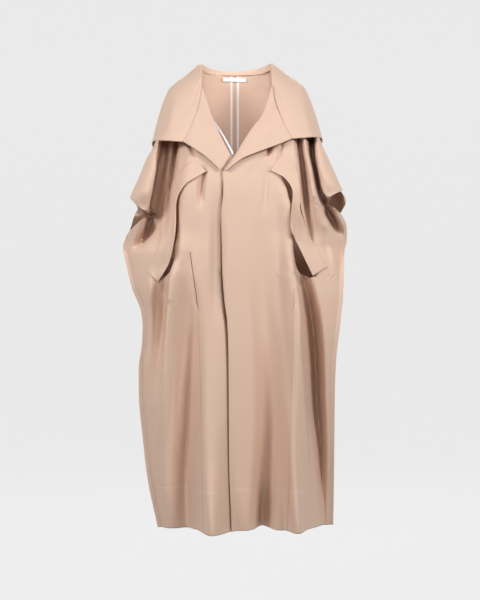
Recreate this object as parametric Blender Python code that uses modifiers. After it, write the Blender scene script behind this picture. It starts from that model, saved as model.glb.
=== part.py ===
"""A long cape coat with a wide hood collar, hanging open as it does when it is worn.

Sizes are in millimetres and are turned to metres where a mesh is made. X runs from the
wearer's right to the wearer's left, Y from front to back and Z up. The origin is in the
middle of the neck. Each cloth piece is an open surface, worked out from its sizes and its
folds, with a Solidify modifier for the wall.
"""

import math

import bmesh
import bpy

MM = 0.001
CLOTH = 1.6
TAPE = 0.8
SEAM_GAP = 0.3
HEM = -1128.0
CENTRE_BACK = -6.0
SEAM_FLANGE = 10.0
SHOULDER_TURN = 6.0
MOUTH_EASE = 8.0
UNDERLAP = 64.0
ROUNDNESS = 2.6
RIGHT = -1
LEFT = 1
FRONT = -1
BACK = 1

CLOTH_COLOUR = (0.52, 0.35, 0.26, 1.0)
WHITE_COLOUR = (0.86, 0.85, 0.83, 1.0)

# Heights of the rows that every panel shares, closer together round the arm openings
ROWS = (
    -170, -195, -215, -232, -250, -268, -281, -290, -299, -308, -318, -328, -338, -346,
    -355, -367, -380, -395, -410, -426, -444, -464, -484, -502, -517, -545, -585, -635,
    -700, -780, -865, -950, -1030, -1095, HEM,
)
# Above them the front's rows start at the neck and drop along the shoulder: height at the
# neck, height at the outer end. The back's run level.
FRONT_TOP_ROWS = (
    (20, -25), (8, -40), (-8, -58), (-30, -82), (-60, -106), (-92, -130), (-128, -150),
)
BACK_TOP_ROWS = (20, 6, -10, -28, -50, -80, -115, -145)

# height, how far the front and the back stand from the middle of the figure
FIGURE = (
    (20, 18, 78),
    (0, 26, 84),
    (-25, 42, 94),
    (-60, 62, 106),
    (-92, 80, 114),
    (-132, 98, 122),
    (-169, 108, 127),
    (-234, 120, 132),
    (-305, 128, 136),
    (-430, 128, 138),
    (-600, 124, 138),
    (-860, 118, 136),
    (HEM, 114, 134),
)

# height, half width of the figure's outline, of the front, of the back, depth of the seam
# that joins them, and the share of the side flange: 0 on the shoulder, 1 on the side seam.
# The front and back stop short of the outline where the sleeve's mouth is open.
SIDE = {
    RIGHT: (
        (20, 90, 90, 90, 0, 0),
        (-2, 125, 125, 125, 0, 0),
        (-25, 160, 160, 160, 0, 0),
        (-50, 172, 172, 172, 0, 0),
        (-100, 187, 187, 187, 0, 0),
        (-150, 200, 200, 200, 0, 0),
        (-178, 210, 210, 210, 0, 0),
        (-208, 227, 227, 227, 0, 0),
        (-250, 244, 244, 244, 0, 0),
        (-281, 258, 258, 258, 0, 0),
        (-302, 267, 267, 267, 0, 0),
        (-313, 270, 259, 259, 0, 0),
        (-329, 273, 241, 251, 0, 0),
        (-346, 277, 222, 257, 0, 0),
        (-355, 279, 230, 262, 0, 0),
        (-368, 281, 248, 267, 0, 0),
        (-386, 284, 270, 275, 0, 0),
        (-404, 287, 283, 283, 0, 0.4),
        (-422, 289, 289, 289, 0, 0.8),
        (-440, 288, 288, 288, 0, 1),
        (-468, 282, 282, 282, 0, 1),
        (-528, 267, 267, 267, -2, 1),
        (-588, 244, 244, 244, -6, 1),
        (-620, 239, 239, 239, -8, 1),
        (-660, 240, 240, 240, -10, 1),
        (-737, 249, 249, 249, -14, 1),
        (-800, 248, 248, 248, -18, 1),
        (-894, 239, 239, 239, -26, 1),
        (-1000, 226, 226, 226, -36, 1),
        (HEM, 199, 199, 199, -50, 1),
    ),
    LEFT: (
        (20, 90, 90, 90, 0, 0),
        (-2, 125, 125, 125, 0, 0),
        (-25, 160, 160, 160, 0, 0),
        (-50, 172, 172, 172, 0, 0),
        (-100, 188, 188, 188, 0, 0),
        (-145, 204, 204, 204, 0, 0),
        (-178, 216, 216, 216, 0, 0),
        (-208, 230, 230, 230, 0, 0),
        (-239, 244, 244, 244, 0, 0),
        (-269, 257, 257, 257, 0, 0),
        (-281, 263, 258, 263, 0, 0),
        (-290, 267, 245, 270, 0, 0),
        (-299, 270, 234, 275, 0, 0),
        (-308, 272, 228, 277, 0, 0),
        (-316, 274, 229, 275, 0, 0),
        (-326, 275, 236, 271, 0, 0),
        (-346, 277, 259, 262, 0, 0),
        (-367, 278, 273, 264, 0, 0),
        (-386, 279, 279, 273, 0, 0.2),
        (-409, 279, 279, 279, 0, 0.7),
        (-430, 274, 274, 274, 0, 1),
        (-462, 271, 271, 271, 0, 1),
        (-508, 270, 270, 270, 2, 1),
        (-551, 268, 268, 268, 3, 1),
        (-610, 262, 262, 262, 4, 1),
        (-711, 251, 251, 251, 4, 1),
        (-790, 248, 248, 248, 2, 1),
        (-965, 246, 246, 246, -3, 1),
        (HEM, 244, 244, 244, -8, 1),
    ),
}

# height, X of the folded front edge: the roll line down to the top button, then the opening
FRONT_EDGE = {
    RIGHT: (
        (20, -89), (-10, -92), (-30, -90), (-47, -81), (-72, -70), (-100, -64), (-139, -47),
        (-195, -19), (-215, -4), (-246, 14), (-275, 18), (-561, 18), (HEM, 18),
    ),
    LEFT: (
        (20, 89), (-10, 91), (-38, 86), (-71, 75), (-102, 61), (-146, 28), (-202, -6),
        (-233, -29), (-246, -36), (-262, -34), (-292, -34), (-348, -39), (-436, -37),
        (-487, -36), (-561, -31), (-618, -24), (-706, -21), (-941, -19), (HEM, -13),
    ),
}

# height, X of the slit's inner edge, X of its outer edge, how far the inner edge sinks in
SLIT = {
    RIGHT: (
        (-232, -103, -103, 2),
        (-250, -118, -130, 3),
        (-290, -148, -168, 4),
        (-318, -161, -179, 4),
        (-367, -165, -181, 5),
        (-404, -157, -186, 9),
        (-426, -153, -191, 12),
        (-450, -155, -198, 12),
        (-484, -161, -213, 8),
        (-502, -178, -216, 5),
        (-517, -204, -204, 2),
    ),
    LEFT: (
        (-232, 98, 98, 2),
        (-250, 107, 122, 4),
        (-281, 121, 147, 10),
        (-308, 127, 153, 9),
        (-338, 132, 158, 5),
        (-380, 135, 173, 6),
        (-444, 140, 200, 12),
        (-484, 146, 212, 10),
        (-502, 156, 210, 5),
        (-517, 194, 194, 2),
    ),
}

# name, reach towards -X, reach towards +X, then its line as height, X and rise of the cloth
FOLDS = (
    ("right outer tube", 24, 20, (
        (-130, -200, 0), (-170, -203, 12), (-250, -228, 13), (-300, -238, 8), (-330, -232, 0))),
    ("right deep pleat", 19, 20, (
        (-112, -172, 0), (-165, -180, -23), (-222, -191, -28), (-285, -202, -24),
        (-350, -214, 0))),
    ("right pleat ridge", 15, 15, (
        (-125, -158, 0), (-160, -162, 10), (-205, -172, 8), (-270, -184, 0))),
    ("right second pleat", 15, 15, (
        (-125, -142, 0), (-160, -145, -10), (-215, -156, -14), (-262, -166, 0))),
    ("right inner ridge", 14, 16, (
        (-140, -134, 0), (-175, -137, 10), (-235, -148, 8), (-275, -154, 0))),
    ("right body ridge", 22, 42, (
        (-330, -150, 0), (-404, -152, 12), (-487, -160, 24), (-590, -168, 28),
        (-706, -176, 22), (-860, -190, 8), (-950, -198, 0))),
    ("right side hollow", 28, 26, (
        (-510, -198, 0), (-580, -193, -18), (-660, -195, -20), (-800, -205, -8),
        (-860, -208, 0))),
    ("right outer ridge", 20, 20, (
        (-470, -214, 0), (-530, -216, 13), (-600, -220, 13), (-700, -226, 0))),
    ("right pocket hollow", 84, 24, (
        (-540, -114, 0), (-680, -114, -22), (-860, -108, -36), (-1000, -104, -44),
        (HEM, -98, -54))),
    ("right middle ridge", 15, 66, (
        (-600, -80, 0), (-780, -78, 20), (-940, -76, 52), (HEM, -66, 92))),
    ("centre trough", 46, 48, (
        (-500, 54, 0), (-610, 54, -12), (-700, 66, -24), (-860, 72, -52), (-1000, 70, -70),
        (HEM, 64, -90))),
    ("left front ridge", 34, 30, (
        (-540, 124, 0), (-700, 132, 16), (-860, 136, 34), (-1000, 142, 50), (HEM, 150, 70))),
    ("left body ridge", 36, 16, (
        (-262, 112, 0), (-300, 124, 10), (-386, 133, 16), (-445, 140, 24), (-525, 146, 28),
        (-600, 150, 28), (-700, 158, 26), (-900, 172, 18), (HEM, 182, 4))),
    ("left side hollow", 24, 28, (
        (-510, 182, 0), (-600, 190, -24), (-700, 194, -30), (-820, 200, -32),
        (-935, 212, -28), (HEM, 218, -26))),
    ("left soft pleat", 12, 12, (
        (-125, 154, 0), (-160, 153, -10), (-260, 166, -14), (-308, 174, -10),
        (-350, 178, 0))),
    ("left pleat ridge", 12, 10, (
        (-140, 168, 0), (-200, 173, 10), (-310, 188, 8), (-355, 196, 0))),
    ("left deep pleat", 19, 19, (
        (-102, 175, 0), (-150, 184, -26), (-205, 196, -31), (-265, 208, -22),
        (-315, 214, -10), (-375, 232, 0))),
    ("left outer tube", 22, 20, (
        (-130, 202, 0), (-180, 208, 11), (-262, 236, 11), (-300, 236, 0))),
)

BACK_FOLDS = (
    ("back right outer pleat", 20, 22, (
        (-180, -176, 0), (-300, -196, -22), (-420, -204, -24), (-620, -196, -18),
        (-900, -186, -26), (HEM, -170, -34))),
    ("back right fold", 34, 36, (
        (-330, -122, 0), (-560, -124, 18), (-860, -122, 34), (HEM, -118, 48))),
    ("back right trough", 30, 30, (
        (-420, -62, 0), (-700, -66, -16), (-940, -70, -34), (HEM, -72, -46))),
    ("back middle fold", 34, 34, (
        (-480, CENTRE_BACK, 0), (-760, CENTRE_BACK, 14), (-960, CENTRE_BACK, 28),
        (HEM, CENTRE_BACK, 38))),
    ("back left trough", 30, 34, (
        (-380, 58, 0), (-640, 64, -18), (-900, 72, -36), (HEM, 78, -48))),
    ("back left fold", 36, 34, (
        (-320, 128, 0), (-540, 134, 18), (-820, 142, 34), (HEM, 150, 50))),
    ("back left outer pleat", 22, 20, (
        (-170, 182, 0), (-300, 202, -22), (-430, 210, -24), (-640, 206, -18),
        (-900, 210, -26), (HEM, 214, -34))),
)

# Sections of the collar from the front seam round to the centre back. Each is a row of
# points (x, y, z): neck seam, roll line, slope, shoulder, drop and free edge.
COLLAR = (
    ((84, -44, -32), (88, -51, -22), (92, -68, -58), (100, -90, -92), (115, -105, -132),
     (133, -114, -169)),
    ((85, -29, -5), (90, -35, 6), (107, -58, -39), (122, -82, -82), (143, -97, -126),
     (164, -106, -166)),
    ((86, -6, 19), (91, -8, 30), (121, -32, -12), (150, -54, -56), (174, -70, -113),
     (194, -78, -162)),
    ((86, 18, 26), (90, 16, 42), (127, 10, 12), (170, 2, -24), (193, -4, -87),
     (212, -8, -161)),
    ((71, 56, 24), (75, 54, 38), (120, 62, 6), (165, 72, -34), (192, 77, -105),
     (214, 75, -186)),
    ((47, 72, 22), (50, 73, 33), (93, 99, 1), (136, 120, -55), (162, 132, -138),
     (178, 140, -234)),
    ((23, 77, 22), (24, 78, 30), (51, 115, -10), (77, 139, -78), (91, 153, -172),
     (99, 160, -278)),
    ((0, 79, 22), (0, 80, 29), (0, 119, -12), (0, 143, -84), (0, 158, -186),
     (0, 166, -300)),
)
COLLAR_STATIONS = (0, 0.6, 1, 1.35, 1.7, 2, 2.5, 3, 3.5, 4, 4.5, 5)
LEFT_COLLAR_LIFT = 8.0
LEFT_COLLAR_WIDTH = 1.03

# Rows of each lapel from its seam with the collar to the top button: roll line x, z, then
# free edge x, z. The lapel lies on the front, and stands off it more at its free edge.
LAPEL = {
    RIGHT: (
        (-86, -26, -133, -169), (-74, -47, -122, -176), (-66, -72, -108, -185),
        (-62, -104, -88, -198), (-47, -141, -70, -212), (-28, -178, -55, -226),
        (-16, -202, -41, -241),
    ),
    LEFT: (
        (82, -20, 114, -165), (77, -42, 106, -170), (70, -71, 90, -178), (59, -102, 66, -188),
        (30, -144, 36, -200), (5, -189, 12, -211), (-15, -220, -9, -226),
        (-30, -238, -26, -241),
    ),
}
LAPEL_STAND_OFF = 15.0

# Rows along each arm slit's welt: free edge x, z, sewn edge x, z, then how far each edge
# stands off the front
WELT = {
    RIGHT: (
        (-75, -242, -105, -212, 5, 5), (-101, -258, -131, -231, 5, 5),
        (-126, -274, -156, -256, 5, 5), (-143, -298, -176, -286, 6, 5),
        (-150, -324, -186, -320, 7, 5), (-150, -367, -187, -366, 8, 5),
        (-153, -404, -190, -406, 10, 5), (-165, -463, -202, -450, 9, 5),
        (-195, -515, -222, -490, 6, 5),
    ),
    LEFT: (
        (82, -240, 105, -205, 5, 5), (100, -249, 122, -216, 5, 5),
        (117, -259, 140, -232, 6, 5), (132, -279, 154, -258, 8, 5),
        (137, -300, 157, -294, 10, 5), (134, -340, 155, -330, 10, 5),
        (132, -384, 164, -362, 9, 5), (155, -434, 192, -424, 9, 5),
        (187, -500, 224, -478, 6, 5),
    ),
}

# Centre line of the white binding inside the right front's roll line: x, z
FACING_TAPE = ((-63, -103), (-58, -115), (-45, -135), (-27, -166), (-9, -200))
FACING_TAPE_WIDTH = 4.6

# The back's first columns beside its centre seam: the seam, its fold, and the tape's edges
SEAM_COLUMNS = (SEAM_GAP / 2, 2.0, 6.0, 11.0)
LABEL_WIDTH = 60.0
LABEL_HEIGHT = 9.5
LABEL_TOP = 15.0


def clear_scene():
    for obj in list(bpy.data.objects):
        bpy.data.objects.remove(obj, do_unlink=True)


def cloth_material(name, colour, roughness):
    material = bpy.data.materials.new(name)
    material.use_nodes = True
    shader = material.node_tree.nodes["Principled BSDF"]
    shader.inputs["Base Color"].default_value = colour
    shader.inputs["Roughness"].default_value = roughness
    shader.inputs["Metallic"].default_value = 0.0
    material.diffuse_color = colour
    return material


def steady_slopes(keys, values):
    """Slopes at the rows of a table that never overshoot them, for a smooth curve."""
    steps = [
        (values[i + 1] - values[i]) / (keys[i + 1] - keys[i]) for i in range(len(keys) - 1)
    ]
    slopes = [steps[0]]
    for before, after in zip(steps, steps[1:]):
        same_way = before * after > 0
        slopes.append(2 * before * after / (before + after) if same_way else 0.0)
    return slopes + [steps[-1]]


def column_at(table, height, column):
    """Reads one column of a table whose first column is the height, running downwards."""
    keys = [-row[0] for row in table]
    values = [row[column] for row in table]
    place = min(max(-height, keys[0]), keys[-1])
    i = max(k for k in range(len(keys) - 1) if keys[k] <= place)
    slopes = steady_slopes(keys, values)
    span = keys[i + 1] - keys[i]
    t = (place - keys[i]) / span
    return (
        values[i] * (1 + 2 * t) * (1 - t) ** 2
        + values[i + 1] * t * t * (3 - 2 * t)
        + slopes[i] * span * t * (1 - t) ** 2
        + slopes[i + 1] * span * t * t * (t - 1)
    )


def spline(points, place):
    """A point at a place from 0 to len(points) - 1 on a smooth curve through the points."""
    last = len(points) - 1
    i = min(int(place), last - 1)
    t = place - i
    here, there = points[i], points[i + 1]
    before = points[i - 1] if i else [2 * a - b for a, b in zip(here, there)]
    after = points[i + 2] if i + 2 <= last else [2 * b - a for a, b in zip(here, there)]
    return [
        0.5 * (2 * b + (c - a) * t + (2 * a - 5 * b + 4 * c - d) * t * t
               + (3 * b - a - 3 * c + d) * t ** 3)
        for a, b, c, d in zip(before, here, there, after)
    ]


def fold_rise(folds, x, z):
    """How far the folds lift the cloth away from the figure at one place."""
    rise = 0.0
    for _, reach_minus, reach_plus, line in folds:
        if not line[-1][0] <= z <= line[0][0]:
            continue
        offset = x - column_at(line, z, 1)
        share = abs(offset) / (reach_minus if offset < 0 else reach_plus)
        if share < 1:
            rise += column_at(line, z, 2) * (0.5 + 0.5 * math.cos(math.pi * share))
    return rise


def figure_share(x, z, side):
    """1 in the middle of the figure, falling on a rounded curve to 0 at its outline."""
    outline = column_at(SIDE[side], z, 1) - SEAM_FLANGE * column_at(SIDE[side], z, 5)
    across = min(max(side * x, 0.0) / outline, 1.0)
    return (1 - across ** ROUNDNESS) ** (1 / ROUNDNESS)


def panel_y(x, z, figure_depth, folds, face):
    """Depth of the cloth: the seam's at the outline, the figure's and the folds' inside it."""
    side = RIGHT if x < 0 else LEFT
    share = figure_share(x, z, side)
    seam = column_at(SIDE[side], z, 4)
    settled = min(1.0, 3 * share)
    return seam + (face * figure_depth - seam) * share + face * settled * fold_rise(folds, x, z)


def front_y(x, z):
    """Depth of the front's cloth, without what the laps and slits change."""
    return panel_y(x, z, column_at(FIGURE, z, 1), FOLDS, FRONT)


def back_y(x, z):
    return panel_y(x, z, column_at(FIGURE, z, 2), BACK_FOLDS, BACK)


def lean(depth_of, x, z):
    """How much a step along Y grows where the cloth leans, to stay the same step off it."""
    step = 2.0
    across = (depth_of(x + step, z) - depth_of(x - step, z)) / (2 * step)
    down = (depth_of(x, z + step) - depth_of(x, z - step)) / (2 * step)
    return min(math.sqrt(1 + across ** 2 + down ** 2), 3.0)


def overlap_shift(x, z, side):
    """The left front lies over the right one, and its edge stands off a little."""
    lap = column_at(FRONT_EDGE[LEFT], z, 1)
    half_step = 2.4 * lean(front_y, x, z)
    if side == RIGHT:
        return half_step / (1 + math.exp((lap - 6 - x) / 3))
    near_edge = math.exp(-max(x - lap, 0.0) / 26)
    past_lap = 1 / (1 + math.exp((x - lap - UNDERLAP) / 4))
    return -half_step * past_lap - 3.0 * near_edge


def edge_points(z, side, column, face):
    """The last two points of a row: the turn of the side, and the sewn or free edge."""
    table = SIDE[side]
    outline = column_at(table, z, 1)
    width = column_at(table, z, column)
    seam = column_at(table, z, 4)
    flange = column_at(table, z, 5)
    wall = face * (CLOTH + SEAM_GAP) / 2
    turn_y = seam + face * SHOULDER_TURN * (1 - flange) + wall * flange
    edge_y = seam + face * SEAM_GAP / 2 * (1 - flange) + wall * flange
    turn_x = width - SEAM_FLANGE * flange
    depth_of = front_y if face == FRONT else back_y
    opened = min((outline - width) / MOUTH_EASE, 1.0)
    if opened > 0:
        turn_x -= opened * SHOULDER_TURN
        turn_y += opened * (depth_of(side * turn_x, z) - turn_y)
        edge_y += opened * (depth_of(side * width, z) - edge_y)
    return (side * turn_x, turn_y, z), (side * width, edge_y, z)


def spread(start, end, count, gather):
    """Places from start to end, drawn together towards the end as gather goes to 1."""
    places = []
    for i in range(count + 1):
        t = i / count
        eased = (1 - gather) * t + gather * (1 - (1 - t) ** 2)
        places.append(start + (end - start) * eased)
    return places


INNER_COLUMNS = 12
OUTER_COLUMNS = 12
BACK_COLUMNS = 10


def slit_edges(z, side, inner, outer):
    """X of the slit's two edges at a height, and of the line that carries it on past its ends."""
    table = SLIT[side]
    if table[-1][0] < z < table[0][0]:
        return column_at(table, z, 1), column_at(table, z, 2), column_at(table, z, 3)
    end = table[0] if z >= table[0][0] else table[-1]
    end_inner = column_at(FRONT_EDGE[side], end[0], 1)
    end_outer = side * column_at(SIDE[side], end[0], 1)
    share = (end[1] - end_inner) / (end_outer - end_inner)
    x = inner + share * (outer - inner)
    return x, x, 0.0


def front_rows(side):
    """For each row, the points inside the slit and those outside it."""
    rows = []
    for inner_z, outer_z in FRONT_TOP_ROWS + tuple((z, z) for z in ROWS):
        inner = column_at(FRONT_EDGE[side], inner_z, 1)
        turn, edge = edge_points(outer_z, side, 2, FRONT)
        slit_in, slit_out, sink = slit_edges(inner_z, side, inner, turn[0])

        def on_front(x, near_slit):
            z = inner_z + (outer_z - inner_z) * (x - inner) / (turn[0] - inner)
            return (x, front_y(x, z) + overlap_shift(x, z, side) + sink * near_slit, z)

        inside = [
            on_front(x, math.exp(-abs(x - slit_in) / 14))
            for x in spread(inner, slit_in, INNER_COLUMNS, 0.15)
        ]
        outside = [on_front(x, 0) for x in spread(slit_out, turn[0], OUTER_COLUMNS, 0.6)[:-1]]
        rows.append((inside, outside + [turn, edge]))
    shoulder = rows[0]
    for part in shoulder:
        part[:] = [(x, FRONT * SEAM_GAP / 2, z) for x, _, z in part]
    return rows


def back_rows(side):
    rows = []
    for z in BACK_TOP_ROWS + ROWS:
        turn, edge = edge_points(z, side, 3, BACK)
        by_seam = [CENTRE_BACK + side * offset for offset in SEAM_COLUMNS]
        places = by_seam[:-1] + spread(by_seam[-1], turn[0], BACK_COLUMNS, 0.6)[:-1]
        rows.append([(x, back_y(x, z), z) for x in places] + [turn, edge])
    return rows


def sheet_mesh(name, grids):
    """A mesh from grids of points, whose coincident points are joined."""
    mesh = bmesh.new()
    for rows in grids:
        placed = [[mesh.verts.new([v * MM for v in point]) for point in row] for row in rows]
        for upper, lower in zip(placed, placed[1:]):
            for i in range(len(upper) - 1):
                mesh.faces.new((upper[i], lower[i], lower[i + 1], upper[i + 1]))
    bmesh.ops.remove_doubles(mesh, verts=mesh.verts, dist=0.00001)
    bmesh.ops.recalc_face_normals(mesh, faces=mesh.faces)
    data = bpy.data.meshes.new(name)
    mesh.to_mesh(data)
    mesh.free()
    data.shade_smooth()
    return data


def add_piece(name, grids, material, thickness=CLOTH):
    piece = bpy.data.objects.new(name, sheet_mesh(name, grids))
    piece.data.materials.append(material)
    coat.objects.link(piece)
    wall = piece.modifiers.new("wall", "SOLIDIFY")
    wall.thickness = thickness * MM
    wall.offset = 0.0
    wall.use_rim = True
    return piece


def make_front(name, side, material):
    rows = front_rows(side)
    return add_piece(name, [[row[0] for row in rows], [row[1] for row in rows]], material)


def make_back(name, side, material):
    return add_piece(name, [back_rows(side)], material)


def collar_point(place, station):
    """A point on the collar, from place -7 on the right front seam round to 7 on the left."""
    along = 7 - abs(place)
    columns = [spline(COLLAR_BY_STATION[k], along) for k in range(len(COLLAR[0]))]
    x, y, z = spline(columns, station)
    if place > 0:
        outward = station / (len(COLLAR[0]) - 1) * min(1.0, place / 3)
        return (CENTRE_BACK * (1 - place / 7) + x * (1 + (LEFT_COLLAR_WIDTH - 1) * outward), y,
                z + LEFT_COLLAR_LIFT * outward)
    return (CENTRE_BACK * (1 + place / 7) - x, y, z)


COLLAR_BY_STATION = [[row[k] for row in COLLAR] for k in range(len(COLLAR[0]))]
COLLAR_PLACES = [i / 2 for i in range(-14, 15)]


def make_collar(material):
    rows = [[collar_point(place, s) for place in COLLAR_PLACES] for s in COLLAR_STATIONS]
    return add_piece("collar", [rows], material)


LAPEL_ROWS = 12
LAPEL_COLUMNS = 7


def lapel_point(side, along, across):
    """A lapel point: along from the collar seam to the button, across from the roll line."""
    table = LAPEL[side]
    row = spline(table, along * (len(table) - 1))
    first = table[0]
    seam_x, seam_y, seam_z = collar_point(side * 7, 1 + 4 * across)
    near_seam = (1 - along) ** 2
    x = row[0] + (row[2] - row[0]) * across
    z = row[1] + (row[3] - row[1]) * across
    x += near_seam * (seam_x - side * 1.5 - first[0] - (first[2] - first[0]) * across)
    z += near_seam * (seam_z - first[1] - (first[3] - first[1]) * across)
    y = front_y(x, z) + overlap_shift(x, z, side)
    off = 2 * CLOTH * lean(front_y, x, z)
    off += LAPEL_STAND_OFF * math.sin(across * math.pi / 2) * (1 - 0.6 * along)
    seam_off = front_y(seam_x, seam_z) - seam_y
    return (x, y - off - (seam_off - off) * near_seam ** 2, z)


def make_lapel(name, side, material):
    rows = [
        [lapel_point(side, i / LAPEL_ROWS, j / LAPEL_COLUMNS) for j in range(LAPEL_COLUMNS + 1)]
        for i in range(LAPEL_ROWS + 1)
    ]
    return add_piece(name, [rows], material)


WELT_ROWS = 20
WELT_COLUMNS = 3


def make_welt(name, side, material):
    table = WELT[side]
    rows = []
    for i in range(WELT_ROWS + 1):
        free_x, free_z, sewn_x, sewn_z, free_off, sewn_off = spline(
            table, i / WELT_ROWS * (len(table) - 1)
        )
        row = []
        for j in range(WELT_COLUMNS + 1):
            t = j / WELT_COLUMNS
            x = free_x + (sewn_x - free_x) * t
            z = free_z + (sewn_z - free_z) * t
            stand_off = (free_off + (sewn_off - free_off) * t) * lean(front_y, x, z)
            row.append((x, front_y(x, z) - stand_off, z))
        rows.append(row)
    return add_piece(name, [rows], material)


def make_seam_tapes(material):
    """White tapes that bind the two edges of the centre back seam, pressed open inside."""
    for name, side in (("back_seam_tape_right", RIGHT), ("back_seam_tape_left", LEFT)):
        rows = []
        for z in BACK_TOP_ROWS + ROWS:
            places = [CENTRE_BACK + side * offset for offset in SEAM_COLUMNS[-2:]]
            rows.append([
                (x, back_y(x, z) - ((CLOTH + TAPE) / 2 + 0.5) * lean(back_y, x, z), z)
                for x in places
            ])
        add_piece(name, [rows], material, TAPE)


def make_facing_tape(material):
    rows = []
    steps = 10
    for i in range(steps + 1):
        x, z = spline(FACING_TAPE, i / steps * (len(FACING_TAPE) - 1))
        row = []
        for offset in (-FACING_TAPE_WIDTH / 2, FACING_TAPE_WIDTH / 2):
            row.append((x + offset, front_y(x + offset, z) + 4.5, z + offset * 0.5))
        rows.append(row)
    add_piece("facing_tape", [rows], material, TAPE)


def make_label(material):
    rows = []
    middle = CENTRE_BACK - 0.5
    for z in (LABEL_TOP, LABEL_TOP - LABEL_HEIGHT / 2, LABEL_TOP - LABEL_HEIGHT):
        row = []
        for i in range(7):
            x = middle + LABEL_WIDTH * (i / 6 - 0.5)
            row.append((x, back_y(x, z) - CLOTH - TAPE - 2.4, z))
        rows.append(row)
    add_piece("neck_label", [rows], material, TAPE)


clear_scene()
coat = bpy.data.collections.new("cape_coat")
bpy.context.scene.collection.children.link(coat)
gabardine = cloth_material("gabardine", CLOTH_COLOUR, 0.72)
white_tape = cloth_material("white_tape", WHITE_COLOUR, 0.6)

make_front("front_right", RIGHT, gabardine)
make_front("front_left", LEFT, gabardine)
make_back("back_right", RIGHT, gabardine)
make_back("back_left", LEFT, gabardine)
make_collar(gabardine)
make_lapel("lapel_right", RIGHT, gabardine)
make_lapel("lapel_left", LEFT, gabardine)
make_welt("welt_right", RIGHT, gabardine)
make_welt("welt_left", LEFT, gabardine)
make_seam_tapes(white_tape)
make_facing_tape(white_tape)
make_label(white_tape)
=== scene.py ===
"""The looks of a long cape coat with a wide hood collar, hanging open as it does when worn.

Sizes are in millimetres, like a maker's, and are turned to metres where a mesh is made.
Right and left are the wearer's: X runs to the wearer's left, Y to the back and Z up.
"""

import functools
import math

import bmesh
import bpy
import numpy as np
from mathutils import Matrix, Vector
from mathutils.bvhtree import BVHTree


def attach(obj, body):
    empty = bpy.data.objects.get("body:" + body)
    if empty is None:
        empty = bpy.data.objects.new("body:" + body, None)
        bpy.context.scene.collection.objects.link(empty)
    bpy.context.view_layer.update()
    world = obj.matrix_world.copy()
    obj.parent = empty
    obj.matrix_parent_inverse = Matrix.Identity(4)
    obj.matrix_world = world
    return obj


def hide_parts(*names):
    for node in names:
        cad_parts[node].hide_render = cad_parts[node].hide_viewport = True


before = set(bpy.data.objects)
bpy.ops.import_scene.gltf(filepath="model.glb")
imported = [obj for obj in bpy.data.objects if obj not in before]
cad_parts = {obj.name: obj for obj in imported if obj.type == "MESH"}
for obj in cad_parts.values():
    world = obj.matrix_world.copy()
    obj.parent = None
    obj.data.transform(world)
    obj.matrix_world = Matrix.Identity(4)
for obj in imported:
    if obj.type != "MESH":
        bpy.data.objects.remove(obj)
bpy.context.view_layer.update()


# ---- The studio ---------------------------------------------------------------------
# A pale round sweep, lit softly from both sides, with a small lamp inside the neck. The coat
# hangs as on a standing figure, so its hem is well clear of the floor, and the camera looks
# level at its middle.

FLOOR = -1.39
VIEW_MIDDLE = -0.559
VIEW_DISTANCE = 4.0
VIEW_HEIGHT = 1.524
SENSOR = 24.0
FRAME_PIXELS = (480, 600)
MIDDLE_PIXEL = 237
SWEEP_RADIUS = 7.5
SWEEP_BEND = 2.4
SWEEP_TOP = 6.0
SWEEP_SIDES = 96
SWEEP_BEND_STEPS = 12
SWEEP_FLOOR_RINGS = (0.4, 3.06)
SWEEP_GREY = (0.06, 0.06, 0.06, 1)
# depths where the sweep's own glow begins and ends to grow, and how strong it is there
SWEEP_GLOW = (-0.9, 0.35, 0.10, 0.668)
AIR_GLOW = 0.13

# place, what it looks at, size across, power, colour
LAMPS = (
    ((-0.05, -2.30, 0.30), (0.0, 0.0, -0.30), 0.7, 12, (1.0, 0.985, 0.975)),
    ((1.65, -1.7, 0.68), (0.0, 0.0, -0.25), 0.8, 30, (1.0, 0.985, 0.975)),
    ((-1.65, -1.7, 0.68), (0.0, 0.0, -0.25), 0.8, 28.5, (1.0, 0.985, 0.975)),
    ((-0.006, -0.03, -0.06), (-0.006, 0.13, -0.08), 0.14, 0.09, (1.0, 0.985, 0.975)),
    ((0.2, 2.6, 1.6), (0.0, 0.0, -0.3), 1.6, 60, (1.0, 0.99, 0.98)),
)


class Signal:
    """A shader output in a Python expression, where each operator adds a Math node."""

    def __init__(self, tree, output=None):
        self.tree = tree
        self.output = output

    def node(self, kind, settings=(), sockets=(), result=0):
        """Adds a node with its settings and its sockets' values or links."""
        made = self.tree.nodes.new(kind)
        for name, value in dict(settings).items():
            setattr(made, name, value)
        for name, value in dict(sockets).items():
            if isinstance(value, Signal):
                self.tree.links.new(value.output, made.inputs[name])
            else:
                made.inputs[name].default_value = value
        return Signal(self.tree, made.outputs[result])

    def __add__(self, other):
        return self.maths("ADD", other)

    def __radd__(self, other):
        return self.maths("ADD", other)

    def __sub__(self, other):
        return self.maths("SUBTRACT", other)

    def __rsub__(self, other):
        return self.node("ShaderNodeMath", {"operation": "SUBTRACT"}, {0: other, 1: self})

    def __mul__(self, other):
        return self.maths("MULTIPLY", other)

    def __rmul__(self, other):
        return self.maths("MULTIPLY", other)

    def maths(self, operation, *others):
        """Any other Math node, with this output as its first number."""
        return self.node(
            "ShaderNodeMath", {"operation": operation}, enumerate((self, *others)))

    def feed(self, shader, socket):
        """Links this output to one of the shader's sockets."""
        self.tree.links.new(self.output, shader.inputs[socket])


def new_surface(name):
    """A new material, its shader and a start for the shader maths in it."""
    material = bpy.data.materials.new(name)
    material.use_nodes = True
    tree = material.node_tree
    return material, tree.nodes["Principled BSDF"], Signal(tree)


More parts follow.
